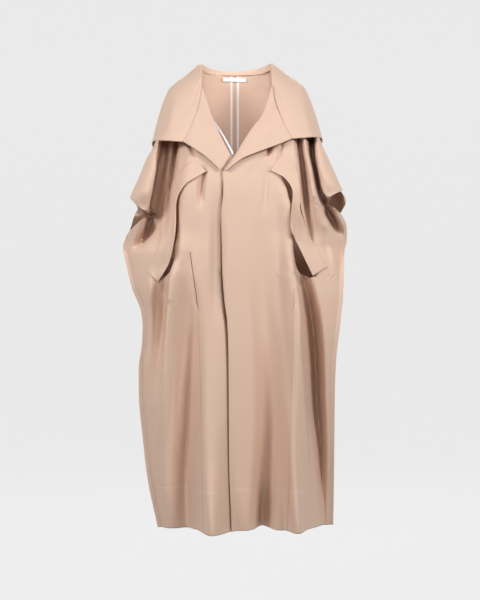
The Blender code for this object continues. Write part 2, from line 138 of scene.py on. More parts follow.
def sweep_mesh():
    """A round floor whose rim bends up into a wall, so that no horizon shows."""
    flat = SWEEP_RADIUS - SWEEP_BEND
    profile = [(radius, FLOOR) for radius in SWEEP_FLOOR_RINGS]
    for i in range(SWEEP_BEND_STEPS + 1):
        turn = math.pi / 2 * i / SWEEP_BEND_STEPS
        profile.append(
            (flat + SWEEP_BEND * math.sin(turn), FLOOR + SWEEP_BEND * (1 - math.cos(turn))))
    profile.append((SWEEP_RADIUS, SWEEP_TOP))
    round_turn = [2 * math.pi * k / SWEEP_SIDES for k in range(SWEEP_SIDES)]
    mesh = bmesh.new()
    middle = mesh.verts.new((0, 0, FLOOR))
    rings = [
        [mesh.verts.new((radius * math.cos(a), radius * math.sin(a), height)) for a in round_turn]
        for radius, height in profile
    ]
    for k in range(SWEEP_SIDES):
        ahead = (k + 1) % SWEEP_SIDES
        mesh.faces.new((middle, rings[0][k], rings[0][ahead]))
        for inner, outer in zip(rings, rings[1:]):
            mesh.faces.new((inner[k], outer[k], outer[ahead], inner[ahead]))
    data = bpy.data.meshes.new("studio_sweep")
    mesh.to_mesh(data)
    mesh.free()
    data.shade_smooth()
    return data


def coordinate(vector, axis):
    """One of a vector's three numbers."""
    return vector.node("ShaderNodeSeparateXYZ", (), {0: vector}, axis)


sweep_paint, paint, start = new_surface("sweep_paint")
paint.inputs["Base Color"].default_value = SWEEP_GREY
paint.inputs["Roughness"].default_value = 0.95
paint.inputs["Specular IOR Level"].default_value = 0.0
paint.inputs["Emission Strength"].default_value = 1.0
place = start.node("ShaderNodeTexCoord", (), (), "Object")
depth = coordinate(place, "Y")
glow = start.node("ShaderNodeMapRange", (), {0: depth, **dict(enumerate(SWEEP_GLOW, 1))})
glow.feed(paint, "Emission Color")
sweep = bpy.data.objects.new("studio_sweep", sweep_mesh())
sweep.data.materials.append(sweep_paint)
bpy.context.scene.collection.objects.link(sweep)

for place, target, size, power, colour in LAMPS:
    lamp = bpy.data.lights.new("softbox", "AREA")
    lamp.size = size
    lamp.energy = power
    lamp.color = colour
    softbox = bpy.data.objects.new("softbox", lamp)
    softbox.location = place
    softbox.visible_camera = False
    softbox.rotation_euler = (Vector(target) - Vector(place)).to_track_quat("-Z", "Y").to_euler()
    bpy.context.scene.collection.objects.link(softbox)

world = bpy.data.worlds.new("studio_air")
world.use_nodes = True
air = world.node_tree.nodes["Background"]
air.inputs["Color"].default_value = (1.0, 1.0, 1.0, 1)
air.inputs["Strength"].default_value = AIR_GLOW
bpy.context.scene.world = world
bpy.context.scene.view_settings.view_transform = "Standard"
bpy.context.scene.view_settings.look = "Medium High Contrast"

camera_data = bpy.data.cameras.new("camera")
camera_data.sensor_fit = "VERTICAL"
camera_data.sensor_height = SENSOR
camera_data.lens = SENSOR * VIEW_DISTANCE / VIEW_HEIGHT
camera_data.shift_x = (FRAME_PIXELS[0] / 2 - MIDDLE_PIXEL) / FRAME_PIXELS[1]
camera = bpy.data.objects.new("camera", camera_data)
camera.location = (0, -VIEW_DISTANCE, VIEW_MIDDLE)
camera.rotation_euler = (math.pi / 2, 0, 0)
bpy.context.scene.collection.objects.link(camera)
bpy.context.scene.camera = camera


# ---- The gabardine ------------------------------------------------------------------
# A fine steep twill in a pinkish tan, piece-dyed, with a slight sheen. Its threads follow
# each piece's own cloth map, which is the piece laid flat, in metres.

MM = 0.001
TWILL_PITCH = 0.9
TWILL_SLOPE = 0.62
THREAD_PITCH = 0.55
SLUB_SCALE = 900.0
DYE_SCALE = 7.0
NAP_SCALE = 130.0
CLOTH_LIGHT = (0.740, 0.556, 0.452, 1)
CLOTH_DEEP = (0.680, 0.490, 0.388, 1)
# painted shadow: the dark colour of seam grooves, pocket slits and the buttonhole, mixed into the
# cloth along lines
PAINTED_SEAM_SHADOW = (0.10, 0.06, 0.045, 1)


def ribs(distance, pitch):
    """Even ribs, from 0 to 1, at a pitch in millimetres."""
    return (distance * (2 * math.pi / (pitch * MM))).maths("SINE") * 0.5 + 0.5


def mixed(share, first, second):
    """A colour between two. Mix has sockets of one name for each type, so they go by number."""
    return share.node(
        "ShaderNodeMix", {"data_type": "RGBA"}, {0: share, 6: first, 7: second}, 2)


def noise(vector, scale, detail=2.0, **settings):
    """Soft noise from 0 to 1 over places on a surface."""
    return vector.node(
        "ShaderNodeTexNoise", settings,
        {"Vector": vector, "Scale": scale, "Detail": detail}, "Fac")


def relief_normal(height, strength, distance, **over):
    """The normal of a surface with this relief, laid over another normal if one is given."""
    return height.node(
        "ShaderNodeBump", (),
        {"Strength": strength, "Distance": distance, "Height": height, **over}, "Normal")


def gabardine(name, painted_shadow_lines=()):
    """The cloth's material, with fine lines of painted shadow in seam grooves, pocket slits and a
    buttonhole: each is its top height, its X there, its lower height and its X there, in
    millimetres, then its half width and how dark it is."""
    material, cloth, start = new_surface(name)
    flat = start.node("ShaderNodeUVMap", {"uv_map": "cloth"})
    across = coordinate(flat, "X")
    along = coordinate(flat, "Y")
    place = start.node("ShaderNodeTexCoord", (), (), "Object")
    x = coordinate(place, "X")
    z = coordinate(place, "Z")
    twill = ribs(across + along * TWILL_SLOPE, TWILL_PITCH)
    weft = ribs(along, THREAD_PITCH)
    slub = noise(flat, SLUB_SCALE, noise_dimensions="2D")
    dye = noise(place, DYE_SCALE, 3.0)
    nap = noise(place, NAP_SCALE)
    tone = twill * 0.22 + weft * 0.06 + slub * 0.25 + dye * 0.34 + nap * 0.16
    colour = mixed(tone, CLOTH_DEEP, CLOTH_LIGHT)
    height = twill * 0.6 + weft * 0.25 + slub * 0.3
    bump = relief_normal(height, 0.5, 0.00012)
    lines = []
    for top, top_x, low, low_x, half_width, dark in painted_shadow_lines:
        slope = (low_x - top_x) / (low - top)
        off = (x - (z - top * MM) * slope - top_x * MM).maths("ABSOLUTE")
        near = off.node(
            "ShaderNodeMapRange", {"interpolation_type": "SMOOTHSTEP"},
            {0: off, 1: 0.0, 2: half_width * MM, 3: dark, 4: 0.0}, "Result")
        within = z.maths("LESS_THAN", top * MM) * z.maths("GREATER_THAN", low * MM)
        lines.append(near * within)
    if lines:
        line = functools.reduce(lambda first, second: first.maths("MAXIMUM", second), lines)
        # painted shadow: the lines darken the cloth's colour where seam grooves, pocket slits and
        # the buttonhole lie in shade
        colour = mixed(line, colour, PAINTED_SEAM_SHADOW)
        bump = relief_normal(1 - line, 0.8, 0.0009, Normal=bump)
    colour.feed(cloth, "Base Color")
    (0.62 + 0.14 * nap).feed(cloth, "Roughness")
    bump.feed(cloth, "Normal")
    cloth.inputs["Specular IOR Level"].default_value = 0.28
    cloth.inputs["Sheen Weight"].default_value = 0.12
    cloth.inputs["Sheen Roughness"].default_value = 0.45
    cloth.inputs["Sheen Tint"].default_value = (1.0, 0.93, 0.87, 1)
    material.diffuse_color = CLOTH_LIGHT
    return material


# ---- The fronts ---------------------------------------------------------------------
# Each front is cut in one with its half of the cape sleeve and is slit for the arm. The
# left one laps over the right one. They hang in deep pleats from the shoulder, and lower
# down in broad folds that stand forward at the hem.

CLOTH = 1.6
SEAM_GAP = 0.3
HEM = -1128.0
SEAM_FLANGE = 10.0
MOUTH_EASE = 8.0
MOUTH_SWING = 90.0
UNDERLAP = 64.0
RIGHT = -1
LEFT = 1
FRONT = -1
BACK = 1

# height, how far the front and the back stand from the middle of the figure
FIGURE = (
    (20, 18, 78),
    (0, 26, 84),
    (-25, 42, 94),
    (-60, 62, 106),
    (-92, 80, 114),
    (-132, 98, 122),
    (-169, 108, 127),
    (-234, 120, 132),
    (-305, 128, 136),
    (-430, 128, 138),
    (-600, 124, 138),
    (-860, 118, 136),
    (HEM, 114, 134),
)

# height, how square the front stands across the figure
SQUARENESS = (
    (20, 2.6), (-110, 2.8), (-175, 5.6), (-290, 6.0), (-345, 3.4), (-400, 2.4),
    (-440, 2.6), (-520, 3.6), (-700, 4.2), (HEM, 3.2),
)
BACK_ROUNDNESS = 2.6
FLANGE_SQUARENESS = 4.5

# height, half width of the figure's outline, of the front, of the back, depth of the seam
# that joins them, and the share of the side flange: 0 on the shoulder, 1 on the side seam.
# The front and back stop short of the outline where the sleeve's mouth is open.
SIDE = {
    RIGHT: (
        (20, 90, 90, 90, 0, 0),
        (-2, 125, 125, 125, 0, 0),
        (-25, 160, 160, 160, 0, 0),
        (-50, 172, 172, 172, 0, 0),
        (-100, 187, 187, 187, 0, 0),
        (-150, 200, 200, 200, 0, 0),
        (-178, 210, 210, 210, 0, 0),
        (-208, 227, 227, 227, 0, 0),
        (-250, 244, 244, 244, 0, 0),
        (-281, 258, 258, 258, 0, 0),
        (-302, 267, 267, 267, 0, 0),
        (-313, 270, 259, 259, 0, 0),
        (-329, 273, 241, 251, 0, 0),
        (-346, 277, 222, 257, 0, 0),
        (-355, 279, 230, 262, 0, 0),
        (-368, 281, 248, 267, 0, 0.03),
        (-386, 284, 270, 275, 0, 0.14),
        (-404, 287, 283, 283, 0, 0.4),
        (-422, 288, 288, 288, -14, 0.76),
        (-440, 285, 285, 285, -38, 1),
        (-468, 278, 278, 278, -50, 1),
        (-528, 263, 263, 263, -60, 1),
        (-588, 240, 240, 240, -62, 1),
        (-620, 236, 236, 236, -62, 1),
        (-660, 237, 237, 237, -62, 1),
        (-737, 246, 246, 246, -60, 1),
        (-800, 245.5, 245.5, 245.5, -58, 1),
        (-894, 237, 237, 237, -56, 1),
        (-1000, 225, 225, 225, -54, 1),
        (HEM, 199, 199, 199, -50, 1),
    ),
    LEFT: (
        (20, 90, 90, 90, 0, 0),
        (-2, 125, 125, 125, 0, 0),
        (-25, 160, 160, 160, 0, 0),
        (-50, 172, 172, 172, 0, 0),
        (-100, 188, 188, 188, 0, 0),
        (-145, 204, 204, 204, 0, 0),
        (-178, 216, 216, 216, 0, 0),
        (-208, 230, 230, 230, 0, 0),
        (-239, 244, 244, 244, 0, 0),
        (-269, 257, 257, 257, 0, 0),
        (-284, 264, 264, 264, 0, 0),
        (-291, 267, 254, 270, 0, 0),
        (-298, 270, 239, 274, 0, 0),
        (-307, 272, 230, 277, 0, 0),
        (-316, 274, 229, 275, 0, 0),
        (-326, 275, 236, 271, 0, 0),
        (-346, 277, 259, 262, 0, 0),
        (-367, 278, 273, 264, 0, 0),
        (-386, 279, 279, 273, 0, 0.2),
        (-409, 278, 278, 278, -14, 0.7),
        (-430, 271, 271, 271, -40, 1),
        (-462, 267, 267, 267, -70, 1),
        (-508, 265, 265, 265, -86, 1),
        (-551, 263, 263, 263, -92, 1),
        (-610, 257, 257, 257, -92, 1),
        (-711, 246.5, 246.5, 246.5, -84, 1),
        (-790, 244, 244, 244, -72, 1),
        (-965, 244, 244, 244, -42, 1),
        (HEM, 244, 244, 244, -8, 1),
    ),
}

# height, X of the folded front edge: the roll line down to the top button, then the opening
FRONT_EDGE = {
    RIGHT: (
        (20, -89), (-10, -92), (-30, -90), (-47, -81), (-72, -70), (-100, -64), (-139, -47),
        (-195, -19), (-215, -4), (-246, 14), (-275, 18), (-561, 18), (HEM, 18),
    ),
    LEFT: (
        (20, 89), (-10, 91), (-38, 86), (-71, 75), (-102, 61), (-146, 28), (-202, -6),
        (-233, -29), (-246, -36), (-262, -34), (-292, -34), (-348, -39), (-436, -37),
        (-487, -36), (-561, -31), (-618, -24), (-706, -21), (-941, -19), (HEM, -13),
    ),
}

# height, X of the slit's inner edge, X of its outer edge, how far the inner edge sinks in
SLIT = {
    RIGHT: (
        (-232, -103, -103, 2),
        (-250, -118, -130, 3),
        (-290, -141, -168, 5),
        (-318, -144, -179, 7),
        (-367, -145, -181, 9),
        (-404, -148, -186, 12),
        (-426, -153, -189, 14),
        (-450, -154, -195, 16),
        (-472, -157, -201, 14),
        (-488, -164, -203, 9),
        (-500, -177, -199, 5),
        (-511, -192, -192, 2),
    ),
    LEFT: (
        (-232, 98, 98, 2),
        (-250, 107, 122, 4),
        (-281, 121, 147, 10),
        (-308, 127, 153, 9),
        (-335, 138, 158, 3),
        (-383, 140, 173, 3),
        (-400, 137, 182, 8),
        (-432, 138, 194, 14),
        (-465, 143, 203, 14),
        (-482, 148, 205, 11),
        (-494, 156, 200, 7),
        (-504, 186, 186, 2),
    ),
}

# A fold of this sharpness comes to an edge, a little rounded, where the others are round. One
# below it also has a flat floor, of that share of its reach.
CREASED = 0.0
CREASE_ROUNDING = 0.12

# name, reach towards -X, reach towards +X, sharpness of its crest, then its line as
# height, X and rise of the cloth
FOLDS = (
    ("right outer tube", 20, 11, 1.0, (
        (-125, -203, 0), (-165, -208, 8), (-238, -221, 13), (-287, -232, 12),
        (-330, -238, 0))),
    ("right deep pleat", 10, 92, -0.10, (
        (-100, -181, 0), (-145, -185, -78), (-188, -191, -102), (-238, -203, -118),
        (-287, -212, -120), (-337, -220, -98), (-385, -228, -46), (-440, -238, 0))),
    ("right lip hollow", 15, 30, 1.0, (
        (-325, -210, 0), (-360, -222, -40), (-386, -231, -52), (-412, -244, -34),
        (-440, -256, 0))),
    ("right pleat ridge", 11, 13, 1.0, (
        (-120, -163, 0), (-160, -168, 16), (-200, -173, 18), (-245, -180, 10),
        (-295, -187, 4), (-330, -190, 0))),
    ("right second pleat", 11, 15, CREASED, (
        (-112, -148, 0), (-165, -153, -40), (-188, -156, -44), (-238, -163, -34),
        (-290, -169, -16), (-345, -174, -16), (-375, -178, -10), (-405, -182, 0))),
    ("right inner ridge", 12, 14, 1.0, (
        (-130, -134, 0), (-178, -140, 7), (-235, -147, 4), (-290, -152, 0))),
    ("right body ridge", 11, 42, 1.0, (
        (-330, -147, 0), (-404, -150, 12), (-487, -158, 30), (-590, -166, 34),
        (-706, -176, 24), (-860, -190, 9), (-950, -198, 0))),
    ("right side hollow", 34, 16, CREASED, (
        (-495, -180, 0), (-540, -179, -24), (-620, -184, -30), (-720, -196, -16),
        (-830, -208, 0))),
    ("right outer ridge", 20, 20, 1.0, (
        (-470, -214, 0), (-530, -216, 13), (-600, -220, 13), (-700, -226, 0))),
    ("right pocket hollow", 58, 46, CREASED, (
        (-480, -112, 0), (-600, -114, -22), (-680, -116, -36), (-860, -122, -48),
        (-1000, -128, -50), (HEM, -124, -48))),
    ("right middle ridge", 40, 66, 1.0, (
        (-600, -72, 0), (-780, -70, 14), (-940, -68, 38), (HEM, -62, 92))),
    ("centre trough", 42, 40, 1.0, (
        (-330, 58, 0), (-440, 62, -6), (-560, 66, -13), (-700, 76, -24), (-860, 80, -38),
        (-1000, 72, -50), (HEM, 64, -86))),
    ("left front ridge", 34, 30, 1.0, (
        (-540, 124, 0), (-700, 132, 16), (-860, 136, 34), (-1000, 142, 50), (HEM, 150, 70))),
    ("left body ridge", 36, 11, 1.0, (
        (-262, 112, 0), (-300, 124, 10), (-386, 131, 16), (-445, 134, 26), (-525, 138, 33),
        (-600, 144, 34), (-700, 155, 32), (-900, 169, 22), (HEM, 180, 6))),
    ("left side hollow", 50, 24, CREASED, (
        (-478, 164, 0), (-510, 168, -40), (-545, 177, -56), (-600, 188, -74),
        (-690, 197, -86), (-820, 203, -84), (-935, 212, -58), (HEM, 222, -28))),
    ("left soft pleat", 20, 12, CREASED, (
        (-118, 151, 0), (-165, 156, -52), (-238, 166, -70), (-300, 172, -66),
        (-350, 177, -34), (-400, 184, -14), (-450, 194, 0))),
    ("left pleat ridge", 12, 10, 1.0, (
        (-130, 168, 0), (-180, 175, 10), (-260, 185, 12), (-330, 196, 10),
        (-400, 208, 4), (-440, 214, 0))),
    ("left deep pleat", 32, 10, -0.14, (
        (-98, 189, 0), (-145, 192, -80), (-188, 196, -108), (-238, 208, -118),
        (-287, 217, -118), (-318, 227, -110), (-340, 236, -90), (-366, 247, -46),
        (-404, 258, 0))),
    ("left lip hollow", 30, 11, 1.0, (
        (-310, 212, 0), (-330, 226, -14), (-360, 246, -32), (-385, 260, -20),
        (-408, 268, 0))),
    ("left outer tube", 11, 22, 1.0, (
        (-130, 204, 0), (-170, 208, 8), (-238, 222, 13), (-270, 234, 12),
        (-306, 244, 0))),
    ("left sleeve ridge", 18, 14, 1.0, (
        (-352, 214, 0), (-380, 222, 9), (-430, 236, 10), (-480, 248, 6), (-508, 252, 0))),
)

# Folds whose edge rolls over the hollow beside it: the crest's side of the edge, how far the
# cloth is drawn along on the crest and in the hollow, then height, X of the edge and its roll
ROLLS = {
    RIGHT: (
        (RIGHT, 24, 10, (
            (-130, -205, 0), (-188, -209, 8), (-238, -215, 14), (-287, -224, 15),
            (-325, -229, 10), (-350, -230, 0))),
        (LEFT, 24, 9, (
            (-470, -155, 0), (-520, -158, 7), (-600, -163, 8), (-700, -172, 5),
            (-780, -180, 0))),
    ),
    LEFT: (
        (LEFT, 24, 10, (
            (-130, 200, 0), (-188, 204, 8), (-238, 216, 14), (-287, 227, 15),
            (-316, 239, 8), (-335, 244, 0))),
        (RIGHT, 24, 9, (
            (-470, 134, 0), (-530, 139, 9), (-590, 144, 10), (-660, 152, 3), (-710, 157, 0))),
    ),
}

# The small creases that only show close up: drags at the welts' ends and under the collar,
# presses, and the edges that show through the cloth. Columns as for the folds.
CREASES = (
    ("right drag under the collar", 13, 9, CREASED, (
        (-150, -124, 0), (-172, -118, -20), (-190, -110, -22), (-212, -101, 0))),
    ("right drag by the welt", 13, 11, 1.0, (
        (-218, -84, 0), (-250, -86, -11), (-285, -88, -13), (-340, -91, 0))),
    ("right shadow by the lapel", 10, 10, 1.0, (
        (-220, -74, 0), (-262, -82, -7), (-300, -84, -5), (-345, -86, 0))),
    ("right opening trough", 26, 26, 1.0, (
        (-262, -52, 0), (-340, -48, -7), (-430, -48, -14), (-540, -50, -10), (-640, -50, 0))),
    ("right pocket slit", 6, 4, CREASED, (
        (-436, -115, 0), (-452, -114, -4), (-520, -104.6, -5), (-572, -97.4, -4),
        (-584, -96, 0))),
    ("right corner crease", 8, 7, CREASED, (
        (-478, -158, 0), (-490, -171, -5), (-502, -184, -5), (-514, -196, 0))),
    ("right low ridge", 12, 12, 1.0, (
        (-640, -146, 0), (-740, -150, 4), (-900, -158, 5), (-1000, -164, 0))),
    ("left drag by the welt", 12, 12, 1.0, (
        (-225, 78, 0), (-255, 74, -4), (-300, 70, -5), (-360, 66, 0))),
    ("left drag under the collar", 8, 14, CREASED, (
        (-150, 92, 0), (-172, 84, -20), (-190, 77, -22), (-212, 70, 0))),
    ("left second drag", 9, 7, CREASED, (
        (-160, 116, 0), (-180, 110, -9), (-200, 106, -8), (-222, 103, 0))),
    ("left pocket line", 5, 4, CREASED, (
        (-526, 140, 0), (-540, 139.5, -3), (-572, 138, -3), (-586, 137, 0))),
    ("left corner crease", 8, 8, CREASED, (
        (-500, 190, 0), (-507, 176, -4), (-518, 158, -4), (-527, 146, 0))),
    ("left drawn crease", 6, 6, CREASED, (
        (-555, 146, 0), (-565, 157, -4), (-582, 175, -4), (-594, 188, 0))),
    ("left caret", 9, 5, CREASED, (
        (-494, 222, 0), (-502, 231, -4), (-512, 244, -3), (-520, 252, 0))),
    ("fly's upper press", 3, 3, 1.0, (
        (-520, 11, 0), (-530, 10, 1.6), (-540, 11, 0))),
    ("fly's lower press", 3, 3, 1.0, (
        (-640, 12, 0), (-652, 11, 1.6), (-664, 12, 0))),
    ("chest dent", 8, 8, 1.0, (
        (-588, 46, 0), (-606, 48, -2.4), (-626, 49, 0))),
    ("fly's inner edge", 5, 3, 1.0, (
        (-262, 10, 0), (-300, 10, 0.7), (-700, 12, 0.7), (-1090, 16, 0.5), (HEM, 16, 0))),
    ("left low trough", 10, 12, 1.0, (
        (-930, 60, 0), (-1010, 62, -3), (-1060, 60, -7), (HEM, 62, -8))),
    ("left kick at the hem", 10, 9, 1.0, (
        (-1010, 44, 0), (-1060, 46, 5), (HEM, 44, 8))),
)

# Where the right front falls away behind the left one's edge
RIGHT_GAP = (
    ("right edge's fall", 9, 60, 1.0, (
        (-258, -28, 0), (-280, -28, -16), (-310, -29, -34), (-345, -30, -46),
        (-390, -32, -54), (-430, -32, -54), (-500, -32, -44), (-580, -27, -30),
        (-640, -20, -16), (-760, -16, -9), (-960, -14, -7), (HEM, -9, -6))),
)

# Runs of rows: where each ends and how far apart its rows are, closest at the sleeves' mouths
ROW_RUNS = ((-275, 3.5), (-430, 2.3), (-1018, 5.0), (HEM, 3.4))
TOP_OF_ROWS = -170.0
# Above them the rows start at the neck and drop along the shoulder: height at the neck,
# height at the outer end
FRONT_TOP_ROWS = (
    (20, -25), (8, -40), (-8, -58), (-30, -82), (-60, -106), (-92, -130), (-128, -150),
    (TOP_OF_ROWS, TOP_OF_ROWS),
)
TOP_ROW_STEPS = 5
INNER_COLUMNS = 62
OUTER_COLUMNS = 88
TAIL_COLUMNS = 7
TAIL = 1.2
SAMPLES = 420
COARSE_STEP = 2.0
MOST_LEAN = 3.0
LAP_HALF_STEP = 2.4
LAP_MARGIN = 6.0
EDGE_LIFT = 3.0
EDGE_LIFT_REACH = 26.0
SLIT_SINK_REACH = 14.0
HEM_DEPTH = 102.0
HEM_STEP = 0.7
HEM_PULL = 0.8
HEM_PULL_REACH = 2.6


def read(table, height, column, level_ends=False):
    """One column of a table of falling heights, as a smooth curve that never overshoots."""
    keys = np.array([-row[0] for row in table], float)
    values = np.array([row[column] for row in table], float)
    steps = np.diff(values) / np.diff(keys)
    before, after = steps[:-1], steps[1:]
    same_way = before * after > 0
    total = np.where(same_way, before + after, 1.0)
    middle = np.where(same_way, 2 * before * after / total, 0.0)
    end_slope = 0.0 if level_ends else 1.0
    slopes = np.concatenate([steps[:1] * end_slope, middle, steps[-1:] * end_slope])
    place = np.clip(-np.asarray(height, float), keys[0], keys[-1])
    i = np.clip(np.searchsorted(keys, place, side="right") - 1, 0, len(keys) - 2)
    span = keys[i + 1] - keys[i]
    t = (place - keys[i]) / span
    return (
        values[i] * (1 + 2 * t) * (1 - t) ** 2
        + values[i + 1] * t * t * (3 - 2 * t)
        + slopes[i] * span * t * (1 - t) ** 2
        + slopes[i + 1] * span * t * t * (t - 1)
    )


def fold_rise(folds, x, z):
    """How far the folds lift the cloth away from the figure."""
    x, z = np.broadcast_arrays(np.asarray(x, float), np.asarray(z, float))
    rise = np.zeros(x.shape)
    for _, reach_minus, reach_plus, sharpness, line in folds:
        offset = x - read(line, z, 1)
        share = np.minimum(np.abs(offset) / np.where(offset < 0, reach_minus, reach_plus), 1.0)
        if sharpness <= CREASED:
            floor = -sharpness
            share = np.maximum(share - floor, 0.0) / (1 - floor)
            share = np.minimum(np.hypot(share, CREASE_ROUNDING), 1.0)
            crest = (1 - np.sin(np.pi / 2 * share)) / (1 - np.sin(np.pi / 2 * CREASE_ROUNDING))
        else:
            crest = (0.5 + 0.5 * np.cos(np.pi * share)) ** sharpness
        within = (z <= line[0][0]) & (z >= line[-1][0]) & (share < 1)
        rise = rise + np.where(within, read(line, z, 2, level_ends=True) * crest, 0.0)
    return rise


def side_value(x, z, column):
    """A column of the side's table, on the side that each point is on."""
    return np.where(x < 0, read(SIDE[RIGHT], z, column), read(SIDE[LEFT], z, column))


def figure_share(x, z, roundness=BACK_ROUNDNESS):
    """1 in the middle of the figure, falling on a rounded curve to 0 at its outline, and
    more gently where it runs into the flange of the side seam."""
    flange = side_value(x, z, 5)
    across = np.clip(np.abs(x) / (side_value(x, z, 1) - SEAM_FLANGE * flange), 0.0, 1.0)
    rounded = (1 - across ** roundness) ** (1 / roundness)
    return rounded + (1 - across ** FLANGE_SQUARENESS - rounded) * flange


def panel_y(x, z, figure_depth, rise, face):
    """Depth of the cloth: the seam's at the outline, the figure's and the folds' inside it."""
    roundness = read(SQUARENESS, z, 1) if face == FRONT else BACK_ROUNDNESS
    share = figure_share(x, z, roundness)
    seam = side_value(x, z, 4)
    settled = np.minimum(1.0, 3 * share)
    return seam + (face * figure_depth - seam) * share + face * settled * rise


def front_y(x, z):
    """Depth of the front's cloth, without what the laps and slits change."""
    x, z = np.broadcast_arrays(np.asarray(x, float), np.asarray(z, float))
    return panel_y(x, z, read(FIGURE, z, 1), fold_rise(FOLDS, x, z), FRONT)


def lean(depth_of, x, z):
    """How much a step along Y grows where the cloth leans, to stay the same step off it."""
    step = COARSE_STEP
    across = (depth_of(x + step, z) - depth_of(x - step, z)) / (2 * step)
    down = (depth_of(x, z + step) - depth_of(x, z - step)) / (2 * step)
    return np.minimum(np.sqrt(1 + across ** 2 + down ** 2), MOST_LEAN)


def soft_step(distance, ease):
    """Rises from 0 to 1 where the distance passes 0."""
    return 1 / (1 + np.exp(np.clip(-distance / ease, -50, 50)))


def overlap_shift(x, z, side):
    """The left front lies over the right one, and its edge stands off a little."""
    lap = read(FRONT_EDGE[LEFT], z, 1)
    half_step = LAP_HALF_STEP * lean(front_y, x, z)
    if side == RIGHT:
        return half_step * soft_step(x - lap + LAP_MARGIN, 3)
    near_edge = np.exp(-np.maximum(x - lap, 0.0) / EDGE_LIFT_REACH)
    return -half_step * soft_step(lap + UNDERLAP - x, 4) - EDGE_LIFT * near_edge


def hem_edge(x):
    """Height of the turned-up hem's edge, which wavers."""
    return HEM + HEM_DEPTH + 2.2 * np.sin(x / 31.0) + 1.2 * np.sin(x / 11.0 + 1.0)


def hem_relief(x, z):
    """The turned-up hem: its edge shows through as a low step that the stitches pull in."""
    edge = hem_edge(x)
    near_edge = np.exp(-((z - edge) / HEM_PULL_REACH) ** 2)
    pull = HEM_PULL * near_edge * (0.7 + 0.3 * np.sin(x / 1.9))
    return HEM_STEP * soft_step(edge - z, 1.1) - pull


def fine_rows(top_rows, top_steps):
    """Pairs of heights for the rows, at the neck or middle and at the outer end."""
    pairs = []
    for upper, lower in zip(top_rows, top_rows[1:]):
        for k in range(top_steps):
            t = k / top_steps
            pairs.append((
                upper[0] + (lower[0] - upper[0]) * t, upper[1] + (lower[1] - upper[1]) * t,
            ))
    height = TOP_OF_ROWS
    for end, step in ROW_RUNS:
        count = math.ceil((height - end) / step)
        pairs += [(z, z) for z in np.linspace(height, end, count, endpoint=False)]
        height = end
    pairs.append((HEM, HEM))
    return np.array(pairs)


def even_columns(x, y, z, count):
    """Each row's points, spread evenly along the cloth in plan."""
    rows = []
    for row_x, row_y, row_z in zip(x, y, z):
        along = np.concatenate([[0.0], np.cumsum(np.hypot(np.diff(row_x), np.diff(row_y)))])
        wanted = np.linspace(0.0, along[-1], count + 1)
        rows.append(np.stack([
            np.interp(wanted, along, row_x),
            np.interp(wanted, along, row_y),
            np.interp(wanted, along, row_z),
        ], axis=1))
    return np.array(rows)


def tail_points(side, z, column, depth_of, face):
    """The row's last points: rounded over the shoulder or at the mouth, flat in the flange."""
    width = read(SIDE[side], z, column)
    seam = read(SIDE[side], z, 4)
    flange = read(SIDE[side], z, 5)
    wall = face * (CLOTH + SEAM_GAP) / 2
    opened = np.clip((read(SIDE[side], z, 1) - width) / MOUTH_EASE, 0.0, 1.0)
    points = []
    for k in range(1, TAIL_COLUMNS + 1):
        left = 1 - k / TAIL_COLUMNS
        round_x = side * (width - TAIL * (left ** 3 * (1 - opened) + left * opened))
        flat_x = side * (width - SEAM_FLANGE * left)
        round_y = depth_of(round_x, z)
        least = SEAM_GAP / 2 * (1 - opened) - MOUTH_SWING * opened
        round_y = seam + face * np.maximum(face * (round_y - seam), least)
        x = round_x + (flat_x - round_x) * flange
        y = round_y + (seam + wall - round_y) * flange
        points.append(np.stack([x, y, z], axis=1))
    return np.stack(points, axis=1)


def sheet_mesh(name, grids):
    """A mesh from grids of points, whose coincident points are joined. Its cloth map is the
    piece laid flat, in metres: across from the row's start, down from the top row."""
    points, faces, flat = [], [], []
    count = 0
    across_start = 0.0
    for grid in grids:
        rows, columns = grid.shape[:2]
        place = grid * MM
        across = np.zeros((rows, columns))
        across[:, 1:] = np.cumsum(np.linalg.norm(np.diff(place, axis=1), axis=2), axis=1)
        down = np.zeros((rows, columns))
        down[1:, :] = np.cumsum(np.linalg.norm(np.diff(place, axis=0), axis=2), axis=0)
        down = np.repeat(down.mean(axis=1, keepdims=True), columns, axis=1)
        flat.append(np.stack([across + across_start, down], axis=2).reshape(-1, 2))
        across_start += float(across[:, -1].mean())
        index = np.arange(rows * columns).reshape(rows, columns) + count
        faces.append(np.stack([
            index[:-1, :-1], index[1:, :-1], index[1:, 1:], index[:-1, 1:],
        ], axis=2).reshape(-1, 4))
        points.append(place.reshape(-1, 3))
        count += rows * columns
    points, faces, flat = np.concatenate(points), np.concatenate(faces), np.concatenate(flat)
    data = bpy.data.meshes.new(name)
    data.from_pydata(points.tolist(), [], faces.tolist())
    cloth_map = data.uv_layers.new(name="cloth")
    cloth_map.data.foreach_set("uv", flat[faces.reshape(-1)].reshape(-1))
    mesh = bmesh.new()
    mesh.from_mesh(data)
    bmesh.ops.remove_doubles(mesh, verts=mesh.verts, dist=0.00001)
    bmesh.ops.recalc_face_normals(mesh, faces=mesh.faces)
    mesh.to_mesh(data)
    mesh.free()
    data.shade_smooth()
    return data


def cloth_piece(name, grids, material, thickness=CLOTH):
    """A thin shell on the grids' form."""
    piece = bpy.data.objects.new(name, sheet_mesh(name, grids))
    piece.data.materials.append(material)
    bpy.context.scene.collection.objects.link(piece)
    wall = piece.modifiers.new("wall", "SOLIDIFY")
    wall.thickness = thickness * MM
    wall.offset = 0.0
    wall.use_rim = True
    return piece


def hand_over(pieces):
    """Every piece belongs to the coat's one body."""
    for piece in pieces:
        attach(piece, "root")


